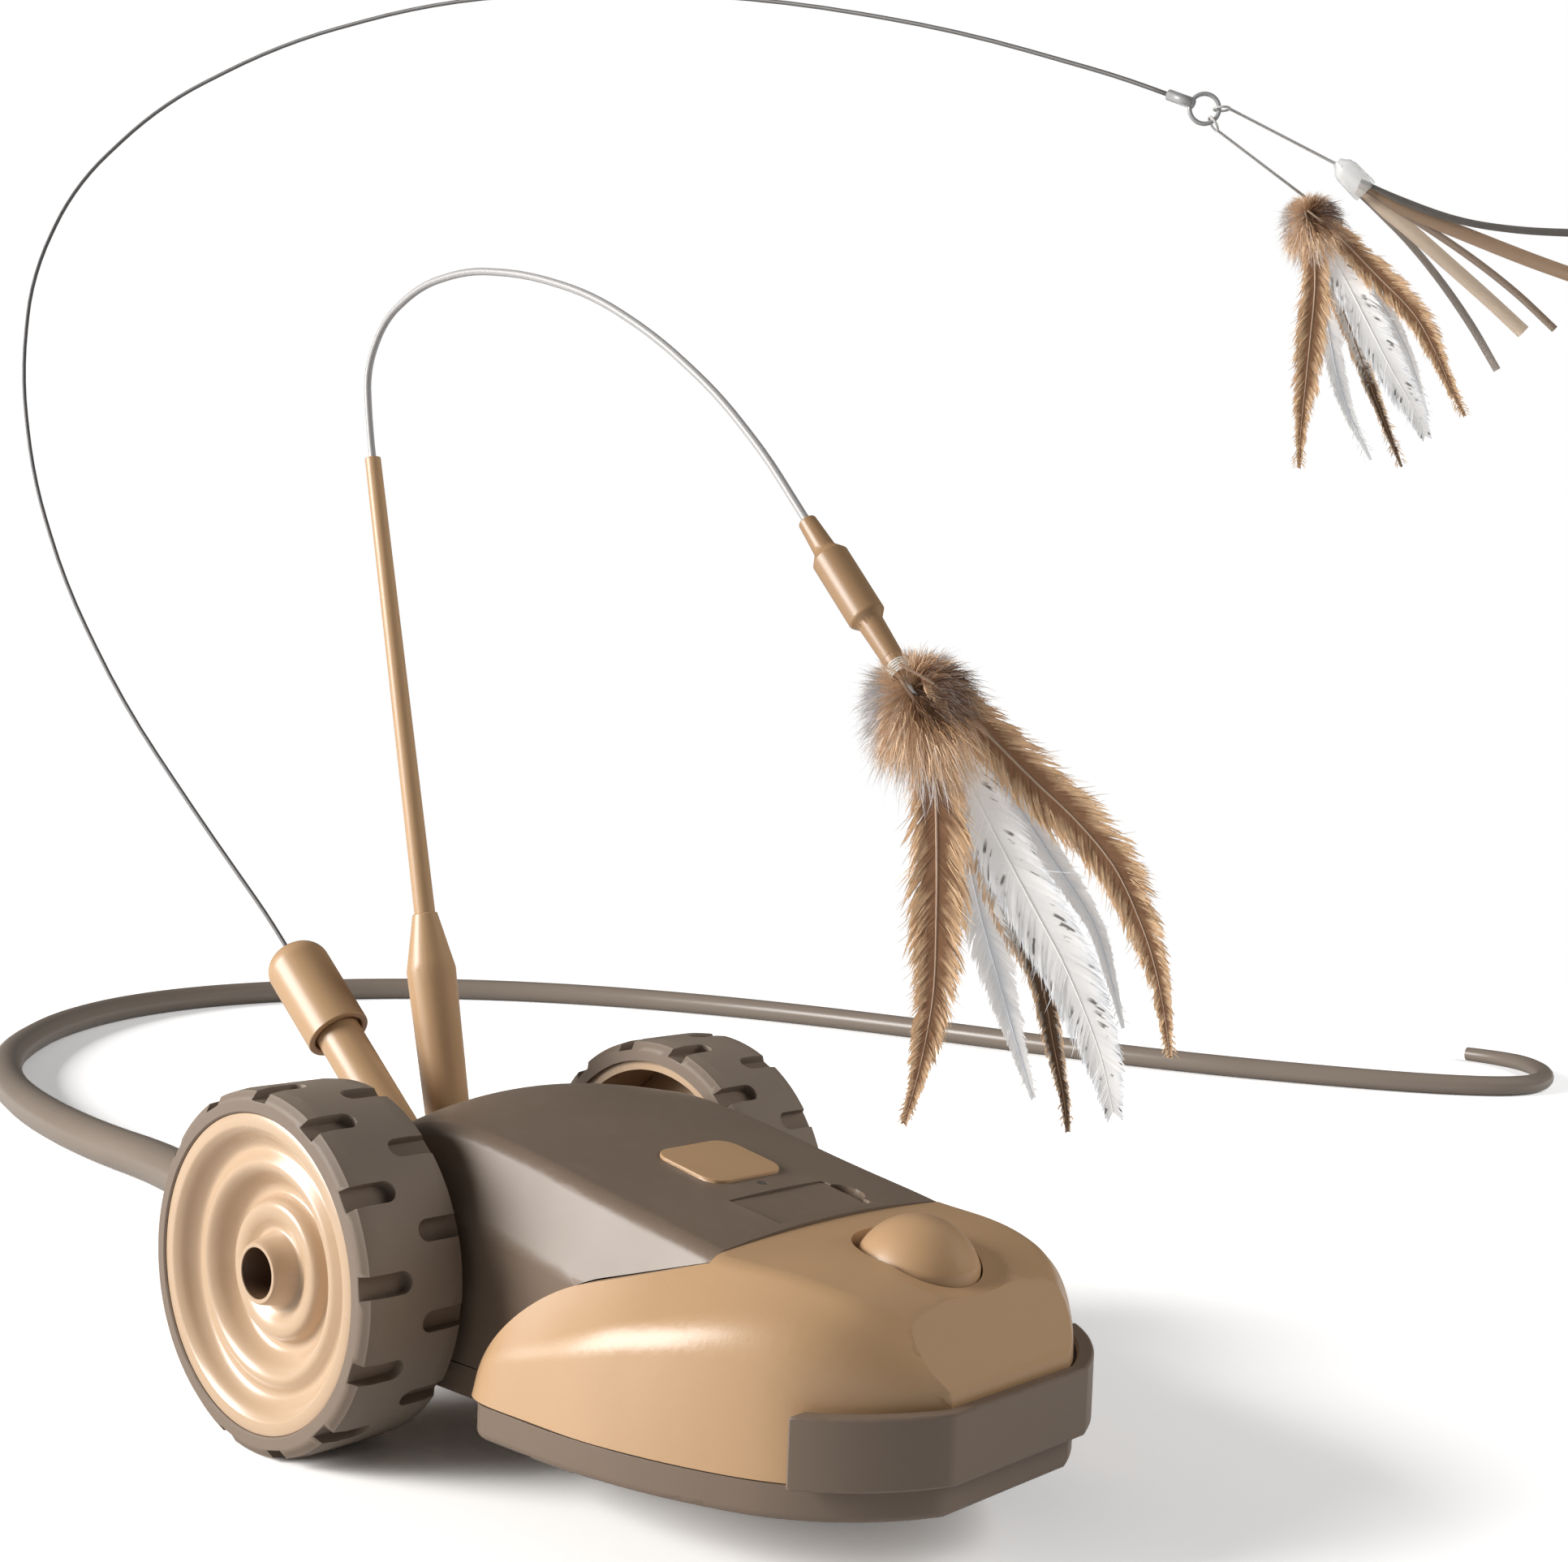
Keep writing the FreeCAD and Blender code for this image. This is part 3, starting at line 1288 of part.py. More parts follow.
def leader(loop_angle, end):
    """Thin line from a loop through the ring to its lure."""
    outward = plane_right * math.cos(math.radians(loop_angle)) + Z * math.sin(math.radians(loop_angle))
    inner = ring_radius - ring_wire - loop_wire - 0.35
    centre = along(ring_centre, outward, inner + loop_radius)
    loop = Part.makeTorus(loop_radius, loop_wire, centre, outward.cross(plane_away))
    line = rod(leader_diameter / 2, along(centre, outward, loop_radius), end)
    return loop.fuse(line)


anchor_a = ring_centre
ribbon_in = in_plane(anchor_a, 28.6, -10.6)
ribbon_out = in_plane(anchor_a, 33.8, -15.4)
feather_in = in_plane(anchor_a, 21.5, -17.0)
ribbon_leader = leader(2.0, ribbon_in)
feather_leader = leader(-56.0, feather_in)
save("ribbon_leader", ribbon_leader)
save("feather_leader", feather_leader)

sleeve_dir = (ribbon_out - ribbon_in).normalize()
sleeve = rod(2.3, along(ribbon_in, sleeve_dir, -1.5), ribbon_out)
ribbon_thickness = 0.5
ribbon_shapes = [
    ([(32.5, -13.8), (41.0, -17.6), (52.8, -21.0), (65.0, -22.4), (80.0, -22.6)], 1.6, -2.0),
    ([(32.5, -14.2), (43.0, -19.4), (56.0, -24.2), (68.0, -28.4), (80.0, -32.0)], 3.8, -1.2),
    ([(32.5, -14.4), (43.0, -20.4), (55.0, -27.6), (65.0, -34.6), (74.0, -42.0)], 1.6, -0.3),
    ([(32.4, -14.8), (42.0, -21.8), (52.0, -29.6), (60.5, -36.4), (68.0, -42.6)], 3.6, 0.6),
    ([(32.2, -15.2), (41.0, -22.6), (49.0, -31.0), (56.5, -40.6), (63.0, -50.4)], 1.6, 1.5),
]
ribbons = [blade(anchor_a, spine, [width] * len(spine), depth, ribbon_thickness)
           for spine, width, depth in ribbon_shapes]
sleeve = sleeve.cut(group(ribbons + [ribbon_leader]))
save("ribbon_sleeve", sleeve)
save("ribbons", group(ribbons))

feathers_a_shapes = [
    ([(24.5, -31.0), (26.0, -41.0), (26.4, -52.0), (26.0, -63.0), (24.8, -72.0)],
     (1.4, 4.4, 6.0, 5.0, 0.7), -2.0),
    ([(27.5, -28.0), (37.0, -35.0), (45.5, -43.0), (52.5, -52.0), (58.0, -60.5)],
     (1.4, 4.6, 6.4, 5.0, 0.7), -0.8),
    ([(27.0, -30.0), (34.5, -40.0), (41.0, -51.0), (46.5, -58.5), (51.0, -65.5)],
     (1.4, 5.0, 7.0, 5.0, 0.7), 0.4),
    ([(26.0, -31.0), (30.5, -41.0), (34.5, -51.5), (37.4, -60.5), (39.6, -69.0)],
     (1.4, 3.8, 5.0, 4.0, 0.7), 1.6),
    ([(26.5, -31.0), (33.0, -43.0), (39.0, -55.0), (43.0, -63.0), (46.2, -70.5)],
     (1.2, 3.0, 4.0, 3.4, 0.7), 2.8),
]
feathers_a = [blade(anchor_a, spine, widths, depth, feather_thickness)
              for spine, widths, depth in feathers_a_shapes]
fluff_a = fluff(anchor_a, 25.2, -25.4, 6.2, 8.4).cut(group(feathers_a + [feather_leader]))
save("feathers_a", group(feathers_a))
save("fluff_a", fluff_a)
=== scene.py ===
# %% [markdown]
# A toy car for cats, dressed for the camera. The imported model brings every hard piece at its real size and place,
# in metres, with the nose towards -Y. Nothing of it is moved here: pieces get finishes, or a finer piece stands in
# for them.

# %% Load the frame
import json
import math

import bpy
import numpy as np
from mathutils import Matrix, Vector


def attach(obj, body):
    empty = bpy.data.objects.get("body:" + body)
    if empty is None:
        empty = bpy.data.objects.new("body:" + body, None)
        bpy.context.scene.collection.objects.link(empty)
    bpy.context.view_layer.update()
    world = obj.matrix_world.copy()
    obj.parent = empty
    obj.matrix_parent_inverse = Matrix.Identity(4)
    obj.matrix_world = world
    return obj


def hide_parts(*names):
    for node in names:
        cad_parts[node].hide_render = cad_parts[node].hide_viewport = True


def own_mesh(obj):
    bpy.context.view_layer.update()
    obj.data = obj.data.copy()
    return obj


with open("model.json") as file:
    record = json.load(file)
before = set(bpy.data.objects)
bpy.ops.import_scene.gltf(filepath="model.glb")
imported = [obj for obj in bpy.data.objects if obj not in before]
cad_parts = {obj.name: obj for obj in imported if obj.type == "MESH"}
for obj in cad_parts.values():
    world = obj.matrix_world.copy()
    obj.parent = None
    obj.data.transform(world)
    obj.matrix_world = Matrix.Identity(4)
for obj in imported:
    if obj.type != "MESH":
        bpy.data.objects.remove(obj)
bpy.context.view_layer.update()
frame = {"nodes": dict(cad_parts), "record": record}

MM = 0.001
nodes = frame["nodes"]
node_body = {n: b for b, names in frame["record"]["behaviour"]["bodies"].items() for n in names}
scene = bpy.context.scene

# %% [markdown]
# The camera stands low at the front left, almost level, and is tilted a little to the right. Its place was
# worked out from the wheels, the nose and the deck. The lens gives the field of view, and the two shifts put
# the frame's centre where the photograph has it.

# %% Camera
VIEW_AZIMUTH = math.radians(-48.157)
VIEW_ELEVATION = math.radians(2.991)
VIEW_ROLL = math.radians(2.25)
VIEW_DISTANCE = 480.08 * MM
VIEW_TARGET = Vector((79.6, 0.0, 100.0)) * MM
FRAME_WIDTH, FRAME_HEIGHT = 1932, 1925
FOCAL_PIXELS = 2631.34
CENTRE_PIXEL = (975.956, 1009.756)
SEEN_AS_FAR_AS = 20.0

view_back = Vector((
    math.sin(VIEW_AZIMUTH) * math.cos(VIEW_ELEVATION),
    -math.cos(VIEW_AZIMUTH) * math.cos(VIEW_ELEVATION),
    math.sin(VIEW_ELEVATION),
))
level_right = Vector((0, 0, 1)).cross(view_back).normalized()
level_up = view_back.cross(level_right)
view_right = level_right * math.cos(VIEW_ROLL) + level_up * math.sin(VIEW_ROLL)
view_up = level_up * math.cos(VIEW_ROLL) - level_right * math.sin(VIEW_ROLL)

bpy.ops.object.select_all(action="DESELECT")
bpy.ops.object.camera_add()
camera = bpy.context.object
turn = Matrix((view_right, view_up, view_back)).transposed().to_4x4()
turn.translation = VIEW_TARGET + view_back * VIEW_DISTANCE
camera.matrix_world = turn
camera.data.sensor_width = 36.0
camera.data.lens = FOCAL_PIXELS * camera.data.sensor_width / FRAME_WIDTH
camera.data.shift_x = 0.5 - CENTRE_PIXEL[0] / FRAME_WIDTH
camera.data.shift_y = (CENTRE_PIXEL[1] - FRAME_HEIGHT / 2) / FRAME_WIDTH
camera.data.clip_end = SEEN_AS_FAR_AS
scene.camera = camera
print("camera at", [round(v, 3) for v in camera.location], "lens", round(camera.data.lens, 2))

# %% [markdown]
# Materials are trees of nodes. A few short functions build them: one adds a node and fills its inputs, where
# an input may be a number, a colour or another node's output, and the rest are for the kinds used most.

# %% Node helpers


def feed(tree, node, **values):
    """Gives a node's inputs and settings their values by name. A value that is a socket is linked."""
    for key, value in values.items():
        name = key.replace("_", " ")
        if isinstance(value, bpy.types.NodeSocket):
            tree.links.new(value, node.inputs[name])
        elif name in node.inputs:
            node.inputs[name].default_value = value
        else:
            setattr(node, key, value)
    return node


def add(tree, kind, **values):
    return feed(tree, tree.nodes.new("ShaderNode" + kind), **values)


def maths(tree, operation, a, b=None):
    """A Math node. Each of a and b is a socket or a number."""
    node = add(tree, "Math", operation=operation)
    for socket, value in zip(node.inputs, (a, b)):
        if isinstance(value, bpy.types.NodeSocket):
            tree.links.new(value, socket)
        elif value is not None:
            socket.default_value = value
    return node.outputs[0]


def product(tree, first, *others):
    for other in others:
        first = maths(tree, "MULTIPLY", first, other)
    return first


def span(tree, value, start=0.0, end=1.0, low=0.0, high=1.0, **settings):
    """A Map Range node: a value from start to end becomes one from low to high, and no more."""
    return add(tree, "MapRange", Value=value, From_Min=start, From_Max=end, To_Min=low, To_Max=high,
               **settings).outputs[0]


def mixed(tree, mask, a, b):
    """Colour b over colour a by a mask. Each colour is a socket or a tuple."""
    node = add(tree, "Mix", data_type="RGBA", Factor=mask)
    for name, value in (("A", a), ("B", b)):
        socket = [s for s in node.inputs if s.name == name and s.type == "RGBA"][0]
        if isinstance(value, tuple):
            socket.default_value = (*value, 1.0)
        else:
            tree.links.new(value, socket)
    return [s for s in node.outputs if s.type == "RGBA"][0]


def mixed_light(tree, mask, first, second, out):
    """Puts a mix of two shaders into the output node of a material or world."""
    mix = add(tree, "MixShader")
    for source, socket in zip((mask, first.outputs[0], second.outputs[0]), mix.inputs):
        tree.links.new(source, socket)
    feed(tree, out, Surface=mix.outputs[0])


def ramp(tree, value, stops):
    node = add(tree, "ValToRGB", Fac=value)
    elements = node.color_ramp.elements
    while len(elements) < len(stops):
        elements.new(0.5)
    for element, (place, color) in zip(elements, stops):
        element.position = place
        element.color = (*color, 1.0)
    return node.outputs["Color"]


def noise_on(tree, vector, scale, detail, stretch=None):
    if stretch:
        vector = add(tree, "Mapping", Vector=vector, Scale=stretch).outputs[0]
    return add(tree, "TexNoise", Vector=vector, Scale=scale, Detail=detail).outputs["Fac"]


def object_noise(tree, scale, detail, stretch=None):
    return noise_on(tree, add(tree, "TexCoord").outputs["Object"], scale, detail, stretch)


def new_finish(name):
    finish = bpy.data.materials.new(name)
    finish.use_nodes = True
    return finish, finish.node_tree, finish.node_tree.nodes["Principled BSDF"]


print("helpers ready")

# %% [markdown]
# The floor is one large pale disc. In the photograph it is burnt out to white except where the car shades it,
# so for the camera it is brighter than the light that it gives back to the car. Far away it fades to plain
# white, so that no horizon shows. The world is white for the camera. For everything else it is dim, and dimmer
# at the right than at the left, as in a studio where nearly all the light comes from one side.

# %% Floor and world
FLOOR_Z = -12.5 * MM
FLOOR_RADIUS = 6.0
FADE_FROM, FADE_TO = 0.32, 0.95
FLOOR_BOUNCE, FLOOR_SEEN = 0.75, 1.6
WORLD_LEFT, WORLD_RIGHT = 0.15, 0.06


def looked_at(tree):
    """One for what the camera sees, directly or through the clear sleeve, and zero for all other light."""
    ray = add(tree, "LightPath")
    return maths(tree, "MAXIMUM", ray.outputs["Is Camera Ray"], ray.outputs["Is Transmission Ray"])


bpy.ops.mesh.primitive_circle_add(vertices=96, radius=FLOOR_RADIUS, fill_type="NGON", location=(0, 0, FLOOR_Z))
floor = bpy.context.object
floor.name = "floor"
floor_finish, tree, shader = new_finish("floor_white")
tree.nodes.clear()
seen = looked_at(tree)
paint = add(tree, "BsdfDiffuse", Color=span(tree, seen, low=FLOOR_BOUNCE, high=FLOOR_SEEN))
glow = add(tree, "Emission", Color=(1, 1, 1, 1), Strength=1.0)
distance = add(tree, "VectorMath", operation="LENGTH", Vector=add(tree, "TexCoord").outputs["Object"])
fade = span(tree, distance.outputs["Value"], FADE_FROM, FADE_TO, interpolation_type="SMOOTHSTEP")
mixed_light(tree, product(tree, fade, seen), paint, glow, add(tree, "OutputMaterial"))
floor.data.materials.append(floor_finish)

scene.world = bpy.data.worlds.new("studio")
scene.world.use_nodes = True
tree = scene.world.node_tree
tree.nodes.clear()
place = add(tree, "SeparateXYZ", Vector=add(tree, "TexCoord").outputs["Generated"])
strength = span(tree, place.outputs["X"], start=-1.0, low=WORLD_LEFT, high=WORLD_RIGHT)
light = add(tree, "Background", Color=(1.0, 0.99, 0.98, 1), Strength=strength)
white = add(tree, "Background", Color=(1, 1, 1, 1), Strength=1.0)
mixed_light(tree, looked_at(tree), light, white, add(tree, "OutputWorld"))
print("floor and world ready")

# %% [markdown]
# The photograph's main light is a wide soft box at the left of the car and a little behind it, so low that the
# side faces are bright and the deck stays dark. A weak one at the front right keeps the front face readable.
# It is left out of reflections, because the flat front of the nose would mirror its outline.

# %% Lamps
LOOK_AT = Vector((10.0, -30.0, 60.0)) * MM


def soft_box(name, direction, reach, size, watts, tint=(1, 1, 1)):
    """A square area lamp at a distance along a direction, turned to the car."""
    bpy.ops.object.select_all(action="DESELECT")
    bpy.ops.object.light_add(type="AREA")
    lamp = bpy.context.object
    lamp.name = name
    lamp.location = LOOK_AT + Vector(direction).normalized() * reach
    lamp.rotation_mode = "QUATERNION"
    lamp.rotation_quaternion = (LOOK_AT - lamp.location).to_track_quat("-Z", "Y")
    lamp.data.shape = "SQUARE"
    lamp.data.size = size
    lamp.data.energy = watts
    lamp.data.color = tint
    return lamp


soft_box("key_left", (-0.84, 0.55, 0.34), reach=2.2, size=1.1, watts=78.0, tint=(1.0, 0.985, 0.965))
fill = soft_box("fill_front", (0.75, -0.60, 0.50), reach=1.6, size=0.9, watts=15.0)
fill.visible_glossy = False
scene.view_settings.view_transform = "Standard"

# %% [markdown]
# Effects that several finishes share are node groups. Tone drifts slowly over a moulding, grain is the fine
# texture of the mould, wear lightens rounded edges, and dust lies on faces that look up. Each group gives out
# a mask or a height only, and the shader stays in the material.

# %% Shared effects


def group(name, inputs, output):
    """A node group with number inputs and one number output, and its two end nodes."""
    tree = bpy.data.node_groups.new(name, "ShaderNodeTree")
    for label, default in inputs:
        tree.interface.new_socket(label, in_out="INPUT", socket_type="NodeSocketFloat").default_value = default
    tree.interface.new_socket(output, in_out="OUTPUT", socket_type="NodeSocketFloat")
    return tree, tree.nodes.new("NodeGroupInput").outputs, tree.nodes.new("NodeGroupOutput")


tone_group, given, made = group("tone_drift", [("Scale", 40.0)], "Mask")
feed(tone_group, made, Mask=object_noise(tone_group, given["Scale"], 3.0))

grain_group, given, made = group("mould_grain", [("Scale", 2600.0)], "Height")
feed(grain_group, made, Height=object_noise(grain_group, given["Scale"], 2.0))

tree, given, made = group("edge_wear", [("Scale", 420.0), ("Amount", 0.5)], "Mask")
wear_group = tree
edge = add(tree, "Attribute", attribute_name="edge")
patches = span(tree, object_noise(tree, given["Scale"], 4.0), 0.35, 0.75)
feed(tree, made, Mask=product(tree, edge.outputs["Fac"], patches, given["Amount"]))

tree, given, made = group("settled_dust", [("Scale", 260.0), ("Amount", 0.2)], "Mask")
dust_group = tree
facing = add(tree, "SeparateXYZ", Vector=add(tree, "NewGeometry").outputs["Normal"])
upward = maths(tree, "POWER", maths(tree, "MAXIMUM", facing.outputs["Z"], 0.0), 3.0)
specks = span(tree, object_noise(tree, given["Scale"], 6.0), 0.5, 0.8)
feed(tree, made, Mask=product(tree, upward, specks, given["Amount"]))
print("effect groups", [g.name for g in bpy.data.node_groups])

# %% [markdown]
# One function makes every moulded finish. It takes the colour, the roughness and how strong each effect is,
# mixes the colour through the masks, and lets the roughness drift a little with the tone. Numbers that are
# the same all over stay on the shader's own sockets.

# %% Moulded finishes
DUST_COLOR = (0.62, 0.58, 0.53)
CLEAN = {"wear": 0.0, "dust": 0.0}
SMOOTH = {"grain": 0.0, **CLEAN}


def effect(tree, source, **values):
    return add(tree, "Group", node_tree=source, **values).outputs[0]


def shaded(color, share):
    return tuple(c * share for c in color)


def moulded(name, color, roughness, tone=0.10, grain=0.00002, grain_scale=2600.0, wear=0.35, dust=0.15,
            coat=0.0, specular=0.5, drift=0.08, tone_scale=40.0):
    """tone is how far the colour drifts either way, grain the texture's depth in metres."""
    finish, tree, shader = new_finish(name)
    drift_mask = effect(tree, tone_group, Scale=tone_scale)
    base = mixed(tree, drift_mask, shaded(color, 1 - tone), shaded(color, 1 + tone))
    if wear:
        worn = tuple(min(1.0, c * 1.5 + 0.03) for c in color)
        base = mixed(tree, effect(tree, wear_group, Amount=wear), base, worn)
    if dust:
        base = mixed(tree, effect(tree, dust_group, Amount=dust), base, DUST_COLOR)
    bump = add(tree, "Bump", Strength=0.6, Distance=grain, Height=effect(tree, grain_group, Scale=grain_scale))
    feed(tree, shader, Base_Color=base, Normal=bump.outputs["Normal"],
         Roughness=span(tree, drift_mask, low=roughness - drift, high=roughness + drift),
         Coat_Weight=coat, Coat_Roughness=0.25, Specular_IOR_Level=specular)
    return finish


finishes = {
    "tan": moulded("tan_plastic", (0.49, 0.305, 0.163), 0.42, tone=0.02, wear=0.15, dust=0.0, coat=0.25),
    "brown": moulded("brown_plastic", (0.34, 0.205, 0.108), 0.38, tone=0.03, wear=0.15, dust=0.0, coat=0.1),
    "taupe": moulded("taupe_plastic", (0.190, 0.140, 0.104), 0.40, tone=0.03, wear=0.2, dust=0.03, specular=0.4),
    "disc": moulded("disc_plastic", (0.55, 0.39, 0.257), 0.29, tone=0.015, coat=0.35, **CLEAN),
    # Painted shade: a dark brown for the inside of the hub bore, where shade falls.
    "bore": moulded("bore_painted_shade", (0.10, 0.052, 0.026), 0.45, tone=0.05, **CLEAN),
    "tyre": moulded("tyre_rubber", (0.205, 0.155, 0.118), 0.55, tone=0.05, grain=0.00003, grain_scale=1400.0,
                    wear=0.3, dust=0.05, specular=0.4),
    "tail": moulded("tail_silicone", (0.225, 0.182, 0.148), 0.30, tone=0.05, tone_scale=25.0, **CLEAN),
    "black": moulded("black_plastic", (0.025, 0.025, 0.027), 0.45),
    "white": moulded("gear_plastic", (0.78, 0.77, 0.73), 0.38, tone=0.03),
    "board": moulded("board_green", (0.03, 0.13, 0.06), 0.30, tone=0.15, tone_scale=160.0),
    "cell": moulded("cell_wrap", (0.05, 0.13, 0.30), 0.30, tone=0.05),
    "ball": moulded("ball_plastic", (0.06, 0.05, 0.045), 0.22, tone=0.08, coat=0.3),
    "wire_clear": moulded("wand_wire_plastic", (0.40, 0.39, 0.385), 0.34, tone=0.05, coat=0.1, **SMOOTH),
    "line": moulded("leader_line", (0.50, 0.49, 0.48), 0.6, tone=0.05, specular=0.2, **SMOOTH),
    "spring": moulded("spring_wire", (0.105, 0.10, 0.098), 0.45, tone=0.05, **SMOOTH),
    "ring": moulded("ring_plated", (0.34, 0.34, 0.34), 0.35, tone=0.05, coat=0.3, **SMOOTH),
    "thread": moulded("tie_thread", (0.72, 0.69, 0.64), 0.7, tone=0.08, grain=0.00006, grain_scale=4000.0,
                      specular=0.2, **CLEAN),
}
print("moulded finishes", len(finishes))

# %% [markdown]
# Metals keep Metallic at one and take their life from roughness. Drawn wire and turned pins carry fine lines
# round or along the piece, which a noise squeezed along one direction gives. Clear plastic lets light through
# and is a little uneven.

# %% Metals and clear plastic
LINES_SCALE, LINES_DEPTH = 900.0, 0.00001


def metal(name, color, roughness, stretch):
    finish, tree, shader = new_finish(name)
    lines = object_noise(tree, LINES_SCALE, 4.0, stretch)
    bump = add(tree, "Bump", Strength=0.4, Distance=LINES_DEPTH, Height=lines)
    feed(tree, shader, Metallic=1.0, Base_Color=mixed(tree, lines, shaded(color, 0.8), shaded(color, 1.1)),
         Roughness=span(tree, lines, low=roughness - 0.1, high=roughness + 0.12), Normal=bump.outputs["Normal"])
    return finish


def clear(name, color, roughness, transmission):
    finish, tree, shader = new_finish(name)
    drift_mask = effect(tree, tone_group, Scale=300.0)
    feed(tree, shader, Transmission_Weight=transmission, IOR=1.46,
         Base_Color=mixed(tree, drift_mask, shaded(color, 0.92), color),
         Roughness=span(tree, drift_mask, low=roughness * 0.6, high=roughness * 1.4))
    return finish


finishes["steel"] = metal("turned_steel", (0.62, 0.62, 0.61), 0.30, (0.2, 1, 1))
finishes["blackened"] = metal("blackened_steel", (0.10, 0.07, 0.05), 0.38, (0.2, 1, 1))
finishes["brass"] = metal("bush_bronze", (0.55, 0.36, 0.16), 0.32, (0.2, 1, 1))
finishes["can"] = metal("motor_can", (0.55, 0.55, 0.55), 0.26, (0.1, 1, 1))
finishes["sleeve"] = clear("sleeve_clear", (0.97, 0.965, 0.96), 0.16, 0.75)
finishes["lens"] = clear("light_lens", (0.95, 0.90, 0.80), 0.15, 0.9)
print("finishes", len(finishes))

# %% [markdown]
# The tread, which touches the floor, is painted lighter than the tyre's sides and slots: partly scuffs, partly
# painted light for the light that the bright floor throws back onto it. Only the distance from the axle tells them
# apart, so the mask is that distance, and the lighter colour goes over the rubber's.

# %% Scuffed tread and painted light
AXLE_Z = 20.5 * MM
TREAD_RADIUS = 33.0 * MM
TREAD_SCUFF_AND_LIGHT_DEEP, TREAD_SCUFF_AND_LIGHT_SHALLOW = 0.9 * MM, 0.1 * MM
# Painted light: the lighter tread colour stands for floor bounce light as well as for scuffs.
TREAD_SCUFF_AND_LIGHT_COLOR, TREAD_SCUFF_AND_LIGHT_SHARE = (0.29, 0.235, 0.19), 0.6

tree = finishes["tyre"].node_tree
shader = tree.nodes["Principled BSDF"]
place = add(tree, "SeparateXYZ", Vector=add(tree, "TexCoord").outputs["Object"])
rise = maths(tree, "SUBTRACT", place.outputs["Z"], AXLE_Z)
from_axle = maths(tree, "SQRT", maths(tree, "ADD", product(tree, rise, rise),
                                      product(tree, place.outputs["Y"], place.outputs["Y"])))
scuff_and_light = span(tree, from_axle, TREAD_RADIUS - TREAD_SCUFF_AND_LIGHT_DEEP, TREAD_RADIUS - TREAD_SCUFF_AND_LIGHT_SHALLOW)
rubber = shader.inputs["Base Color"].links[0].from_socket
feed(tree, shader, Base_Color=mixed(tree, product(tree, scuff_and_light, TREAD_SCUFF_AND_LIGHT_SHARE), rubber, TREAD_SCUFF_AND_LIGHT_COLOR))
print("tread scuffed from", round(TREAD_RADIUS - TREAD_SCUFF_AND_LIGHT_DEEP, 5), "m outwards")

# %% [markdown]
# Every piece that comes from the model gets its finish by name. Where a finer piece stands for a node, that
# piece takes the finish instead, so this table serves both.

# %% Which piece has which finish
finish_of = {
    "tan": "nose_cover badge_plate power_button wand_a_holder wand_a_cap wand_b_handle wand_b_rod",
    "brown": "lure_b_connector",
    "taupe": "base_shell front_bumper top_cover charging_flap rear_socket_block tail_ferrule caster_housing",
    "disc": "wheel_disc_left wheel_disc_right",
    "tyre": "tyre_left tyre_right",
    "tail": "tail",
    "steel": "cover_screws flap_pin idler_pins button_spring axle_left axle_right charging_port",
    "blackened": "hub_screw_left hub_screw_right",
    "brass": "axle_bushes",
    "white": "drive_gear_left drive_gear_right idler_gear_left idler_gear_right motor_pinion_left "
             "motor_pinion_right",
    "can": "motor_left motor_right",
    "black": "gear_bracket_left gear_bracket_right button_switch lure_b_tie",
    "board": "circuit_board",
    "cell": "battery",
    "ball": "caster_ball",
    "spring": "wand_a_wire",
    "ring": "lure_ring",
    "wire_clear": "wand_b_wire",
    "line": "ribbon_leader feather_leader",
    "sleeve": "ribbon_sleeve",
    "lens": "status_light",
}
node_finish = {node: key for key, names in finish_of.items() for node in names.split()}
slot_of = {row["node"]: row["material_slot"] for row in frame["record"]["subparts"]}


def dress(piece, finish):
    piece.data.materials.clear()
    piece.data.materials.append(finishes[finish])


for node, key in node_finish.items():
    dress(nodes[node], key)
print("dressed", len(node_finish), "of", len(nodes), "left", sorted(set(nodes) - set(node_finish)))

# %% [markdown]
# The covers come as loose triangles with knife edges. A real moulding has small rounded edges that catch the
# light. So each visible hard piece is copied, its triangles are joined, flat faces are merged, and a Bevel
# modifier rounds every edge sharper than a set angle. An attribute marks the rounded faces for the wear. Thin
# wires have few sides, so they are only shaded smooth, up to a wide angle.

# %% Rounded copies of the hard pieces
MERGE = 0.004 * MM
FLAT_ANGLE = math.radians(0.3)
EDGE_ANGLE, WIRE_ANGLE = 38.0, 85.0
THIN_WIRES = ("wand_a_wire", "wand_b_wire", "lure_ring", "ribbon_leader", "feather_leader")


def only(piece):
    bpy.ops.object.select_all(action="DESELECT")
    piece.select_set(True)
    bpy.context.view_layer.objects.active = piece


def apply_all(piece):
    only(piece)
    for modifier in list(piece.modifiers):
        bpy.ops.object.modifier_apply(modifier=modifier.name)


def edit_all():
    """Into edit mode, with all of the active piece selected."""
    bpy.ops.object.mode_set(mode="EDIT")
    bpy.ops.mesh.select_all(action="SELECT")


def linked(name, data):
    piece = bpy.data.objects.new(name, data)
    scene.collection.objects.link(piece)
    return piece


def hang(piece, body, slot, *replaced):
    """The piece moves with a body and stands for nodes of the model, which are hidden. The slot is not used."""
    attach(piece, body)
    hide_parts(*replaced)
    return piece


def stand_for(piece, node):
    return hang(piece, node_body[node], slot_of[node], node)


def mark_edges(piece):
    """Writes the attribute edge: one on the faces that rounding added, known by their slot, and zero elsewhere."""
    mesh = piece.data
    slots = np.zeros(len(mesh.polygons), np.int32)
    mesh.polygons.foreach_get("material_index", slots)
    mesh.attributes.new("edge", "FLOAT", "FACE").data.foreach_set("value", (slots == 1).astype(np.float32))
    mesh.polygons.foreach_set("material_index", np.zeros(len(mesh.polygons), np.int32))


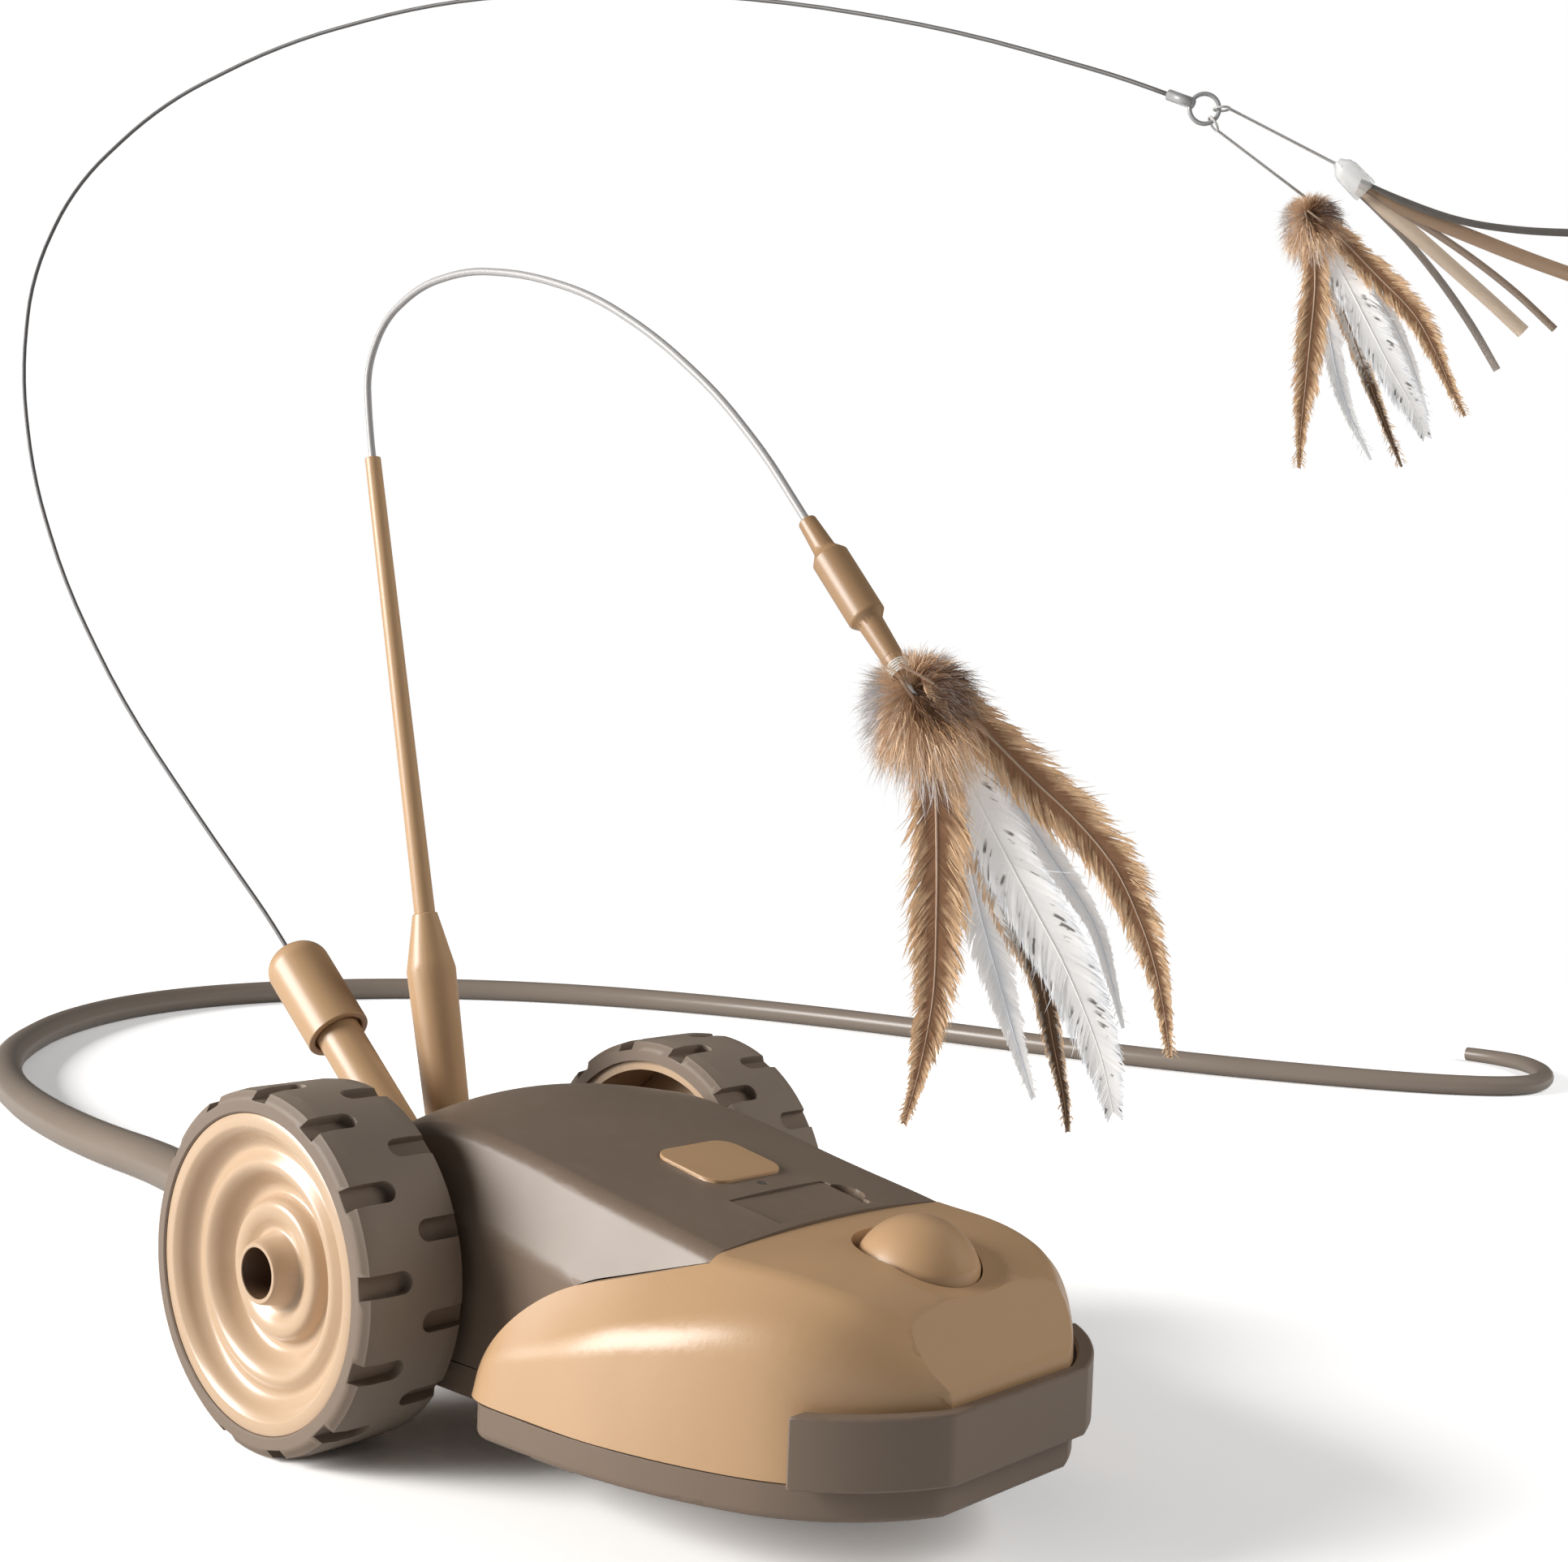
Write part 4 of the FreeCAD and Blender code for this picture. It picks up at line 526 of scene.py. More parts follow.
def rounded_copy(node, width):
    """A copy of a node's mesh with its sharp edges rounded by a width in millimetres, or left sharp at zero."""
    piece = linked(node + "_finished", nodes[node].data.copy())
    only(piece)
    edit_all()
    bpy.ops.mesh.remove_doubles(threshold=MERGE)
    if node not in THIN_WIRES:
        bpy.ops.mesh.dissolve_limited(angle_limit=FLAT_ANGLE)
    bpy.ops.object.mode_set(mode="OBJECT")
    angle = math.radians(WIRE_ANGLE if node in THIN_WIRES else EDGE_ANGLE)
    dress(piece, node_finish[node])
    piece.data.materials.append(finishes[node_finish[node]])
    bpy.ops.object.shade_smooth_by_angle(angle=angle)
    if width:
        bevel = piece.modifiers.new("round", "BEVEL")
        bevel.limit_method = "ANGLE"
        bevel.angle_limit = angle
        bevel.width = width * MM
        bevel.segments = 2
        bevel.use_clamp_overlap = True
        bevel.miter_outer = "MITER_ARC"
        bevel.material = 1
        piece.modifiers.new("normals", "WEIGHTED_NORMAL").keep_sharp = True
        apply_all(piece)
    mark_edges(piece)
    dress(piece, node_finish[node])
    return stand_for(piece, node)


hard_pieces = {
    "nose_cover": 0.35, "top_cover": 0.35, "base_shell": 0.3, "front_bumper": 0.45, "power_button": 0.25,
    "charging_flap": 0.15, "badge_plate": 0.0, "wand_a_holder": 0.3, "wand_a_cap": 0.35, "wand_b_handle": 0.3,
    "wand_b_rod": 0.2, "lure_b_connector": 0.25, "tyre_left": 0.4, "tyre_right": 0.4,
    "tail_ferrule": 0.4, "rear_socket_block": 0.3, "caster_housing": 0.3, "wand_a_wire": 0.0,
    "wand_b_wire": 0.0, "lure_ring": 0.0, "ribbon_leader": 0.0, "feather_leader": 0.0,
}
for node, width in hard_pieces.items():
    piece = rounded_copy(node, width)
    print(node, len(nodes[node].data.polygons), "->", len(piece.data.polygons))

# %% [markdown]
# The spring under the button stands on the board and shortens as the button goes down. Here it gets a smooth copy
# with a mesh of its own.

# %% Button spring
spring = rounded_copy("button_spring", 0.0)
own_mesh(spring)

# %% [markdown]
# A wheel disc is a turned shape: a flat rim, a hollow with a soft raised ring in it, a groove, a low boss and
# the hub tube. So it is drawn as half a section, smoothed where the real one flows, and spun round the axle.
# Places in the section are millimetres inwards from the wheel's outer face and millimetres from the axle.

# %% Wheel discs
WHEEL_OUT = 59.7
DISC_RADIUS = 28.7
HUB_OUTER, HUB_LIP, HUB_BORE, SEAT_DEPTH, SEAT_BORE, AXLE_BORE = 6.7, 5.5, 4.6, 12.6, 3.4, 2.6
BORE_SHADE = 1.2
SPIN_STEPS = 120
RIM = [(0.75, DISC_RADIUS), (0.45, DISC_RADIUS - 0.1), (0.30, DISC_RADIUS - 0.35)]
FACE_FLOW = [
    (0.30, 26.6), (0.42, 26.1), (1.3, 25), (2.7, 24), (3.7, 22.9), (3.9, 21.9), (3.3, 20.8), (2.75, 19.7),
    (2.9, 18.6), (3.9, 17.4), (5.5, 16.3), (6.6, 15.3), (6.95, 14.3), (6.7, 13.4), (5.2, 12.7), (4.35, 11.9),
    (4.2, 10.6), (4.5, 9.4), (5.1, 8.4), (5.5, 7.6), (5.4, 7),
]
HUB = [(5.1, HUB_OUTER), (1.6, HUB_LIP + 0.25), (1.0, HUB_LIP), (0.8, HUB_LIP - 0.15), (0.8, HUB_BORE + 0.12),
       (0.95, HUB_BORE), (SEAT_DEPTH, HUB_BORE), (SEAT_DEPTH, SEAT_BORE), (14.6, SEAT_BORE), (14.6, AXLE_BORE),
       (21.7, AXLE_BORE)]
BACK = [(21.7, 6.0), (8.6, 7.2), (8.6, 16.7), (6.6, 21.1), (6.6, 23.7), (5.4, 26.7), (21.3, 26.7),
        (21.3, DISC_RADIUS)]


def through(points, before, after, steps):
    """More points along a Catmull-Rom curve through the given ones. It comes from before and goes on to after."""
    knots = [np.asarray(p, float) for p in (before, *points, after)]
    fine = [0.5 * (2 * b + (c - a) * t + (2 * a - 5 * b + 4 * c - d) * t ** 2 + (3 * b - a - 3 * c + d) * t ** 3)
            for a, b, c, d in zip(knots, knots[1:], knots[2:], knots[3:])
            for t in np.linspace(0, 1, steps, endpoint=False)]
    return np.array(fine + [knots[-2]])


def turned_disc(name, side):
    """side is 1 for the wheel at +X and -1 for the other."""
    section = np.concatenate([RIM, through(FACE_FLOW, FACE_FLOW[0], FACE_FLOW[-1], 4), HUB, BACK])
    points = [(side * (WHEEL_OUT - depth) * MM, 0.0, radius * MM) for depth, radius in section]
    mesh = bpy.data.meshes.new(name)
    mesh.from_pydata(points, [(i, (i + 1) % len(points)) for i in range(len(points))], [])
    disc = linked(name, mesh)
    only(disc)
    edit_all()
    bpy.ops.mesh.spin(steps=SPIN_STEPS, angle=2 * math.pi, center=(0, 0, 0), axis=(1, 0, 0))
    bpy.ops.mesh.select_all(action="SELECT")
    bpy.ops.mesh.remove_doubles(threshold=MERGE)
    bpy.ops.mesh.normals_make_consistent(inside=False)
    bpy.ops.object.mode_set(mode="OBJECT")
    disc.data.transform(Matrix.Translation((0, 0, AXLE_Z)))
    bpy.ops.object.shade_smooth_by_angle(angle=math.radians(40))
    dress(disc, "disc")
    # Faces deep inside the bore take the dark finish: painted shade in the hub tube.
    disc.data.materials.append(finishes["bore"])
    for face in disc.data.polygons:
        off_axle = math.hypot(face.center.y, face.center.z - AXLE_Z)
        in_bore = off_axle < HUB_BORE * MM + 1e-6 and abs(face.center.x) < (WHEEL_OUT - BORE_SHADE) * MM
        face.material_index = 1 if in_bore else 0
    return disc


for node, side in (("wheel_disc_left", -1), ("wheel_disc_right", 1)):
    disc = stand_for(turned_disc(node + "_turned", side), node)
print("disc faces", len(disc.data.polygons))

# %% [markdown]
# The tail is one soft tube that tapers from the collar to a bare rounded end and lies on the floor in a wide loop.
# It is a curve with one spline whose control points are the route's, with a radius at each point. The radius comes
# first and the height from it, so that the tube rests on the floor all the way.

# %% Tail
TAIL_ROUTE = [
    (0, 40, 11), (0, 58, 11), (5, 82, 5), (14, 109, -3.5), (26, 137), (36, 166), (42, 196), (43.5, 228), (49, 264),
    (58, 300), (71, 335), (91, 372), (117, 405), (148, 435), (187, 459), (230, 470), (272, 466), (311, 452),
    (346, 427), (377, 388), (402, 338), (420, 281), (432, 222), (441, 165), (454, 115), (472, 70), (492, 33),
    (516, 10), (545, 12), (571, 28), (583, 46), (583, 63),
]
TAIL_WIDTHS = (10.4, 12.2, 11.4, 10.2, 9.2, 9.0, 8.2, 7.4, 5.6)


def level_at(share, levels):
    """The value at a share of the way through evenly spaced levels."""
    return np.interp(share, np.linspace(0, 1, len(levels)), levels)


def nurbs_tube(name, places, depth, roundness, steps, radii=None):
    """A round tube along a smooth curve, closed at both ends."""
    curve = bpy.data.curves.new(name, "CURVE")
    curve.dimensions = "3D"
    curve.bevel_depth = depth
    curve.bevel_resolution = roundness
    curve.resolution_u = steps
    curve.use_fill_caps = True
    spline = curve.splines.new("NURBS")
    spline.points.add(len(places) - 1)
    for point, place, radius in zip(spline.points, places, radii or [1.0] * len(places)):
        point.co = (*place, 1.0)
        point.radius = radius
    spline.order_u = 3
    spline.use_endpoint_u = True
    return linked(name, curve)


tail_radii = [float(level_at(i / (len(TAIL_ROUTE) - 1), TAIL_WIDTHS)) / 2 * MM for i in range(len(TAIL_ROUTE))]
tail_places = [(place[0] * MM, place[1] * MM, max(place[2] * MM if len(place) == 3 else FLOOR_Z, FLOOR_Z + radius))
               for place, radius in zip(TAIL_ROUTE, tail_radii)]
tail = nurbs_tube("tail_skin", tail_places, 1.0, 5, 14, tail_radii)
dress(tail, "tail")
hang(tail, "chassis", "tail_silicone", "tail")
print("tail points", len(TAIL_ROUTE))

# %% [markdown]
# Feathers, fluff and ribbons are all many narrow strips. One function turns centre lines and half widths into
# a mesh of strips, with a UV map that says how far across and along each point is. The lures hang in an
# upright plane that faces the camera, so their shapes are drawn as places to the right and up in that plane.

# %% Strips and the lures' plane
PLANE_RIGHT = Vector((math.cos(VIEW_AZIMUTH), math.sin(VIEW_AZIMUTH), 0))
PLANE_AWAY = Vector((-math.sin(VIEW_AZIMUTH), math.cos(VIEW_AZIMUTH), 0))
PLANE_AXES = np.array([PLANE_RIGHT, (0, 0, 1), PLANE_AWAY])
AWAY = np.array(PLANE_AWAY)
LURE_B_ROOT = np.array([8.0, -85.914, 134.207]) * MM
LURE_A_ROOT = np.array([103.168, -83.686, 249.825]) * MM
SHAFT_MAP, SHAFT_TONE = -0.2, 1.5


def in_plane(root, points):
    """Places in metres from (right, up, away) in millimetres, measured from the root."""
    return root + np.asarray(points, float) * MM @ PLANE_AXES


def smooth_line(points, count):
    """Even points along a smooth curve through the given ones, and its length."""
    points = np.asarray(points, float)
    fine = through(points, 2 * points[0] - points[1], 2 * points[-1] - points[-2], 24)
    walked = np.concatenate([[0], np.cumsum(np.linalg.norm(np.diff(fine, axis=0), axis=1))])
    even = np.linspace(0, walked[-1], count)
    return np.stack([np.interp(even, walked, fine[:, k]) for k in range(3)], axis=1), walked[-1]


def unit(vectors):
    return vectors / np.maximum(np.linalg.norm(vectors, axis=-1, keepdims=True), 1e-12)


def woven(name, grids, uv, tones, closed=False):
    """Smooth sheets of four-sided faces through grids of points (sheet, row, column), with the UV map along, and
    a tone for each sheet in the attribute tone. The last column of a closed sheet joins the first."""
    grids = np.asarray(grids)
    first = np.arange(grids[..., 0].size).reshape(grids.shape[:3])
    second = np.roll(first, -1, axis=2)
    if not closed:
        first, second = first[..., :-1], second[..., :-1]
    faces = np.stack([first[:, :-1], second[:, :-1], second[:, 1:], first[:, 1:]], axis=-1).reshape(-1, 4)
    face_uv = np.broadcast_to(uv, grids.shape[:3] + (2,)).reshape(-1, 2)[faces.ravel()].astype(np.float32)
    point_tones = np.repeat(np.asarray(tones, np.float32), grids[0, ..., 0].size)
    mesh = bpy.data.meshes.new(name)
    mesh.from_pydata(grids.reshape(-1, 3).tolist(), [], faces.tolist())
    mesh.uv_layers.new(name="along").data.foreach_set("uv", face_uv.ravel())
    mesh.attributes.new("tone", "FLOAT", "POINT").data.foreach_set("value", point_tones)
    mesh.polygons.foreach_set("use_smooth", [True] * len(mesh.polygons))
    return linked(name, mesh)


def strips(name, lines, half_widths, coords, tones):
    """Strips along lines (strip, point, xyz), half_widths as vectors, coords as (strip, point, uv)."""
    lines, half_widths, coords = (np.array(v) for v in (lines, half_widths, coords))
    return woven(name, np.stack([lines - half_widths, lines + half_widths], axis=2), coords[:, :, None], tones)


def tapered_tube(name, line, radii, sides=6):
    """A thin tube along a line. Its UV lies outside the strips' range, so it takes the shaft's colour."""
    ahead = unit(np.gradient(line, axis=0))[:, None]
    side = unit(np.cross(ahead, AWAY))
    angles = np.arange(sides)[:, None] * 2 * math.pi / sides
    ring = np.cos(angles) * side + np.sin(angles) * np.cross(side, ahead)
    grid = line[:, None] + ring * np.asarray(radii)[:, None, None]
    along = np.linspace(0, 1, len(line))
    uv = np.stack([np.full(len(line), SHAFT_MAP), along], axis=1)[:, None]
    return woven(name, [grid], uv, [SHAFT_TONE], closed=True)


def joined(pieces, name):
    only(pieces[0])
    for piece in pieces:
        piece.select_set(True)
    bpy.ops.object.join()
    whole = bpy.context.object
    whole.name = name
    return whole


print("plane to the right", [round(v, 3) for v in PLANE_RIGHT])

# %% [markdown]
# A feather's colour follows the barb, dark by the shaft and pale at the tip, and some feathers have dark
# flecks along the barbs or a dark end. So the finish reads the UV map: across is 0 at the shaft and 1 at a
# barb's tip, and along is 0 at the root and 1 at the feather's tip. Noise stretched along the barbs makes the
# border between the colours uneven, as it is where barbs lie over each other. A little of the colour is given
# off as light, for the light that thin vanes and hairs let through from behind.

# %% Feather finishes
BROWN, SAND, UMBER = (0.30, 0.155, 0.082), (0.82, 0.56, 0.34), (0.085, 0.045, 0.022)
WHITE, PALE_GREY, SHADE_GREY = (0.90, 0.89, 0.88), (0.78, 0.80, 0.83), (0.60, 0.62, 0.66)
FLECK = (0.04, 0.025, 0.015)
BARB_GRAIN, FLECK_GRAIN = (2.0, 90.0, 1.0), (1.5, 58.0, 1.0)


def strip_map(tree):
    """The UV map, and how far across and along it is."""
    uv = add(tree, "UVMap", uv_map="along").outputs["UV"]
    split = add(tree, "SeparateXYZ", Vector=uv)
    return uv, split.outputs["X"], split.outputs["Y"]


def tone_of(tree):
    return add(tree, "Attribute", attribute_name="tone").outputs["Fac"]


def feather_finish(name, inner, outer, border, shaft, end=None, flecks=0.0, glow=0.04):
    """border is where across the vane the inner colour gives way, end a dark tip's colour."""
    finish, tree, shader = new_finish(name)
    uv, across, along = strip_map(tree)
    strands = noise_on(tree, uv, 1.0, 3.0, BARB_GRAIN)
    wander = product(tree, maths(tree, "SUBTRACT", strands, 0.5), 0.7)
    own_tone = product(tree, maths(tree, "SUBTRACT", tone_of(tree), 0.5), 0.25)
    place = maths(tree, "ADD", maths(tree, "ADD", across, wander), own_tone)
    color = ramp(tree, place, [(max(0.0, border - 0.22), inner), (min(1.0, border + 0.18), outer)])
    if end:
        dark = span(tree, maths(tree, "ADD", along, product(tree, wander, 0.5)), 0.52, 0.62)
        color = mixed(tree, product(tree, dark, span(tree, across, 0.95, 0.45)), color, end)
    if flecks:
        spots = span(tree, noise_on(tree, uv, 1.0, 1.0, FLECK_GRAIN), 0.60, 0.66)
        color = mixed(tree, product(tree, spots, span(tree, across, 0.25, 0.45), flecks), color, FLECK)
    color = mixed(tree, maths(tree, "LESS_THAN", across, SHAFT_MAP / 2), color, shaft)
    feed(tree, shader, Base_Color=color, Roughness=span(tree, strands, low=0.45, high=0.7), Emission_Color=color,
         Emission_Strength=glow, Sheen_Weight=0.25, Sheen_Roughness=0.4, Specular_IOR_Level=0.3)
    finishes[name] = finish


feather_finish("feather_brown", BROWN, SAND, 0.50, (0.50, 0.36, 0.26))
feather_finish("feather_white", WHITE, PALE_GREY, 0.85, (0.80, 0.78, 0.76), flecks=0.8, glow=0.17)
feather_finish("feather_dark_end", (0.70, 0.66, 0.62), SAND, 0.7, (0.20, 0.12, 0.07), end=UMBER, flecks=0.5)
feather_finish("feather_grey", PALE_GREY, WHITE, 0.35, SHADE_GREY, glow=0.15)
print("feather finishes", [name for name in finishes if name.startswith("feather")])

# %% [markdown]
# A feather is a shaft with barbs on both sides. Each barb leaves the shaft at a wide angle, bends towards the
# tip and gets thin. Barbs stick together in small locks that lean and reach a little differently, and a few
# stand away. Thin hairs over the vane, the wisps, soften its edge. A real vane has hundreds of barbs, so they
# are placed by a formula, and not by hand.

# %% Feathers
VANE_START, VANE_CUP, SPINE_BOW = 0.05, 0.12, 1.6
BARB_POINTS = np.array([0.0, 0.3, 0.58, 0.82, 1.0])
BARB_WIDTHS = np.array([1.5, 1.5, 1.3, 0.8, 0.1])
WISP_WIDTHS = np.array([0.07, 0.065, 0.05, 0.035, 0.01])
LEAN_IN, LEAN_OUT, STRAY_LEAN, WISP_LEAN = 50, 24, 16, 31
LOCK_LEAN, LOCK_LIFT, LOCK_REACH = 9.0, 0.05, 0.22
STRAY_SHARE, LEAST_WISP = 0.12, 1.3
RAGGED = {"brown": 0.3, "white": 0.12, "dark_end": 0.25, "grey": 0.12}
WISPS = {"brown": 1.5, "white": 0.5, "dark_end": 1.0, "grey": 0.5}


def feather(name, root, spine, width, outline, kind, depth, seed, barbs, shaft_radius):
    """spine is (right, up) in the plane, outline the vane's half width at even steps as a share of width / 2."""
    rng = np.random.default_rng(seed)
    ragged = RAGGED[kind]
    bow = SPINE_BOW * np.sin(np.linspace(0, 1, len(spine)) * math.pi) * rng.uniform(-1, 1)
    drawn = in_plane(root, [(r, u, depth + b) for (r, u), b in zip(spine, bow)])
    line, length = smooth_line(drawn, 80)
    ahead = unit(np.gradient(line, axis=0))
    lines, halves, coords, tones = [], [], [], []
    spacing = length * (1 - VANE_START) / barbs
    t = BARB_POINTS

    def at(share, hand):
        """The shaft's place at a share of it, the ways forward and outward there, and the vane's half width."""
        k = min(int(share * (len(line) - 1)), len(line) - 2)
        base = line[k] + (line[k + 1] - line[k]) * (share * (len(line) - 1) - k)
        return k, base, ahead[k], unit(np.cross(ahead[k], AWAY)) * hand, width / 2 * level_at(share, outline)

    def keep(path, half_widths, outward, sway, across, share, tone):
        """Adds a barb or a wisp, turned about its own line by a sway out of the vane's plane."""
        flat = unit(np.cross(unit(np.gradient(path, axis=0)), AWAY + outward * sway))
        lines.append(path)
        halves.append(flat * half_widths[:, None])
        coords.append(np.stack([across, np.full(len(t), share)], axis=1))
        tones.append(tone)

    for hand in (-1, 1):
        left_in_lock = 0
        for i in range(barbs):
            if left_in_lock == 0:
                left_in_lock = int(rng.integers(4, 11))
                lock_lean = rng.normal(0, LOCK_LEAN * ragged)
                lock_lift = rng.normal(0, LOCK_LIFT)
                lock_reach = rng.normal(0, LOCK_REACH * ragged)
            left_in_lock -= 1
            share = VANE_START + (1 - VANE_START) * (i + rng.uniform(0, 0.7)) / barbs
            _, base, forward, outward, half = at(share, hand)
            half *= MM * max(0.3, 0.9 + lock_reach + rng.normal(0, 0.03 + 0.16 * ragged))
            stray = STRAY_LEAN if rng.random() < STRAY_SHARE * ragged else 0
            lean_in = math.radians(rng.normal(LEAN_IN + lock_lean * 0.5, 2))
            lean_out = math.radians(rng.normal(LEAN_OUT + lock_lean + stray, 3))
            lean = lean_in + (lean_out - lean_in) * t
            step = np.diff(t, prepend=0)
            side_walk = np.cumsum(np.sin(lean) * step)
            front_walk = np.cumsum(np.cos(lean) * step) / max(side_walk[-1], 0.2)
            lift = -VANE_CUP * t ** 2 + lock_lift * t + rng.normal(0, 0.02 + 0.12 * ragged) * t ** 2
            barb = (base + outward * (half * side_walk / side_walk[-1])[:, None]
                    + forward * (half * front_walk)[:, None] + AWAY * (lift * half)[:, None])
            sway = rng.normal(0, 0.5 * ragged)
            keep(barb, BARB_WIDTHS * spacing * 0.5, outward, sway, t * 0.98, share, rng.random())
        for i in range(int(barbs * WISPS[kind])):
            share = VANE_START + (0.99 - VANE_START) * rng.random()
            k, _, forward, outward, half = at(share, hand)
            half = max(half, LEAST_WISP) * MM
            root_share = rng.uniform(0.3, 0.7)
            base = line[k] + outward * half * root_share + forward * half * root_share * 0.8
            lean = math.radians(rng.normal(WISP_LEAN, 8))
            reach = half * rng.uniform(0.5, 1.05)
            rise = rng.normal(-0.05, 0.22)
            wisp = (base + outward * (reach * math.sin(lean) * t * (1 + 0.12 * t))[:, None]
                    + forward * (reach * math.cos(lean) * t)[:, None] + AWAY * (reach * rise * t ** 1.5)[:, None])
            sway = rng.normal(0, 0.4)
            keep(wisp, WISP_WIDTHS * MM, outward, sway, 0.78 + 0.2 * t, share, rng.uniform(0.6, 1.0))
    vane = strips(name + "_vane", lines, halves, coords, tones)
    radii = shaft_radius * MM * level_at(np.linspace(0, 1, 40), [1.0, 0.6, 0.16])
    whole = joined([vane, tapered_tube(name + "_shaft", smooth_line(drawn, 40)[0], radii)], name)
    dress(whole, "feather_" + kind)
    return whole


LANCE = (0.35, 0.8, 1.0, 0.95, 0.82, 0.6, 0.34, 0.10)
BLUNT = (0.3, 0.8, 1.0, 1.0, 0.95, 0.85, 0.6, 0.25)
NARROW = (0.4, 0.8, 1.0, 0.9, 0.75, 0.55, 0.35, 0.10)
feathers_on_b = [
    ("back", [(4, -6), (19.1, -20), (29.5, -33.7), (37.1, -44.7), (40.7, -54.4),
     (43.3, -63)], 6, NARROW, "grey", 4.2),
    ("grey", [(2, -5), (8.2, -14.1), (12.3, -25.9), (17.2, -43.6), (21.4, -56.6), (25.1, -67.8),
     (27.9, -75.7)], 9.4, LANCE, "grey", 3),
    ("dark", [(2, -5), (9.5, -13.6), (15.1, -25.8), (21.4, -41.1), (27.9, -54), (31, -66.2), (33, -74.7),
     (34, -81)], 8.2, NARROW, "dark_end", 1),
    ("white", [(2, -4), (9.5, -11.2), (13.4, -18.9), (18.2, -28.2), (25.3, -40.5), (32.4, -52.7),
     (38.6, -66.5), (41.5, -77)], 11.6, BLUNT, "white", -0.6),
    ("left", [(1, -3), (5.5, -10), (7.9, -20.5), (8.8, -31.7), (9.3, -45.2), (9.3, -57.7), (7.6, -70),
     (5.2, -80)], 11.4, LANCE, "brown", -2.4),
    ("right", [(1, -1), (7.8, -4.6), (15.2, -11.1), (24.7, -19.8), (32.4, -26.5), (39.4, -34.4), (44.3, -43.8),
     (47.2, -51.6), (49.3, -60.2), (50.3, -66.5)], 10.4, LANCE, "brown", -3.6),
]
feathers_on_a = [
    ("back", [(22.6, -21.3), (28.9, -27.6), (35.8, -33.8), (40.4, -38.7), (45.5, -47.9),
     (49.6, -59.3)], 4, NARROW, "grey", 3.4),
    ("grey", [(21.9, -22.1), (25, -32.6), (27.6, -42.4), (29.8, -51.2), (33, -59.8),
     (38.1, -69)], 5, LANCE, "grey", 2.4),
    ("dark", [(22.3, -22.1), (27.5, -32.5), (32.7, -43.8), (37.3, -54.8), (41.4, -64),
     (44.3, -70.4)], 4.6, NARROW, "dark_end", 1.4),
    ("white", [(22.2, -21.3), (25.5, -26.1), (29.8, -32.9), (35.1, -42.1), (40.2, -50.7), (45.3, -58.3),
     (48.4, -64)], 8, BLUNT, "white", 0.2),
    ("left", [(21.2, -20), (23, -26.3), (23.9, -34.8), (23.5, -45.6), (23, -55.4), (22.6, -64.1),
     (22.6, -71.6)], 7, LANCE, "brown", -1.2),
    ("right", [(21.5, -20), (27, -24.2), (36.1, -32.7), (43.9, -40.1), (48.9, -47.8), (52.4, -54.6),
     (55.6, -59.9)], 6.6, LANCE, "brown", -2),
]
for lure, rows, root, body, first_seed, barbs, shaft_radius in (
        ("b", feathers_on_b, LURE_B_ROOT, "lure_b", 11, 210, 0.34),
        ("a", feathers_on_a, LURE_A_ROOT, "feather_lure", 31, 160, 0.24)):
    for n, (place, *shape) in enumerate(rows):
        piece = feather(f"feather_{lure}_{place}", root, *shape, first_seed + n, barbs, shaft_radius)
        hang(piece, body, "feather", "feathers_" + lure)
    print(body, len(rows), "feathers, faces each about", len(piece.data.polygons))

# %% [markdown]
# The tuft round each root is down: soft hairs on all sides that never lie flat. It is dark and brown where it
# is thick, sandy outside and grey at the left, on top and low down. Each hair starts inside the down's reach,
# points away from the knot, droops as it goes out, and takes its tone from where it ends up.

# %% Down tufts
HAIR_POINTS = np.array([0.0, 0.3, 0.65, 1.0])
HAIR_TAPER = np.array([0.5, 0.5, 0.35, 0.05])
OUT_OF_PLANE, HAIR_LEAN, HAIR_WAVE = 0.55, 0.17, 0.05
REACH_B = [(0, 13.5), (25, 12), (50, 9.8), (80, 7.6), (110, 6.8), (140, 7.4), (180, 8.8), (215, 10.5), (250, 15),
           (275, 19), (300, 19), (330, 16), (360, 13.5)]
REACH_A = [(angle, reach * 0.6) for angle, reach in REACH_B]

finishes["tuft"], tree, shader = new_finish("tuft_down")
uv, outwards, across = strip_map(tree)
color = ramp(tree, tone_of(tree), [
    (0.0, (0.060, 0.020, 0.005)), (0.22, (0.19, 0.090, 0.038)), (0.42, (0.52, 0.30, 0.15)),
    (0.62, (0.84, 0.60, 0.38)), (0.82, (0.50, 0.51, 0.55)), (1.0, (0.88, 0.87, 0.87)),
])
color = mixed(tree, span(tree, outwards, start=0.4, high=0.35), color, (0.80, 0.74, 0.68))
# Painted glow: the hairs give off a little of their colour as light, for the light that thin hairs let through from
# behind.
feed(tree, shader, Base_Color=color, Roughness=span(tree, across, low=0.55, high=0.8), Emission_Color=color,
     Emission_Strength=0.05, Sheen_Weight=0.3, Specular_IOR_Level=0.2)


def step_between(value, low, high):
    t = np.clip((value - low) / (high - low), 0.0, 1.0)
    return t * t * (3 - 2 * t)


def tuft_tone(right, up):
    """Tone by place: darkest in the middle, brown round it, sandy outside, grey at the left, on top and low."""
    d = math.hypot(right, up * 0.9)
    body = 0.02 + 0.20 * step_between(d, 0.25, 0.5) + 0.40 * step_between(d, 0.5, 0.95)
    grey_left = 0.84 * step_between(-right, 0.95, 1.35)
    grey_top = 0.84 * step_between(up - 0.25 * abs(right), 0.45, 0.75)
    pale_low = 0.95 * step_between(-up - 0.3 * right, 1.0, 1.9)
    return max(body, grey_left, grey_top, pale_low)


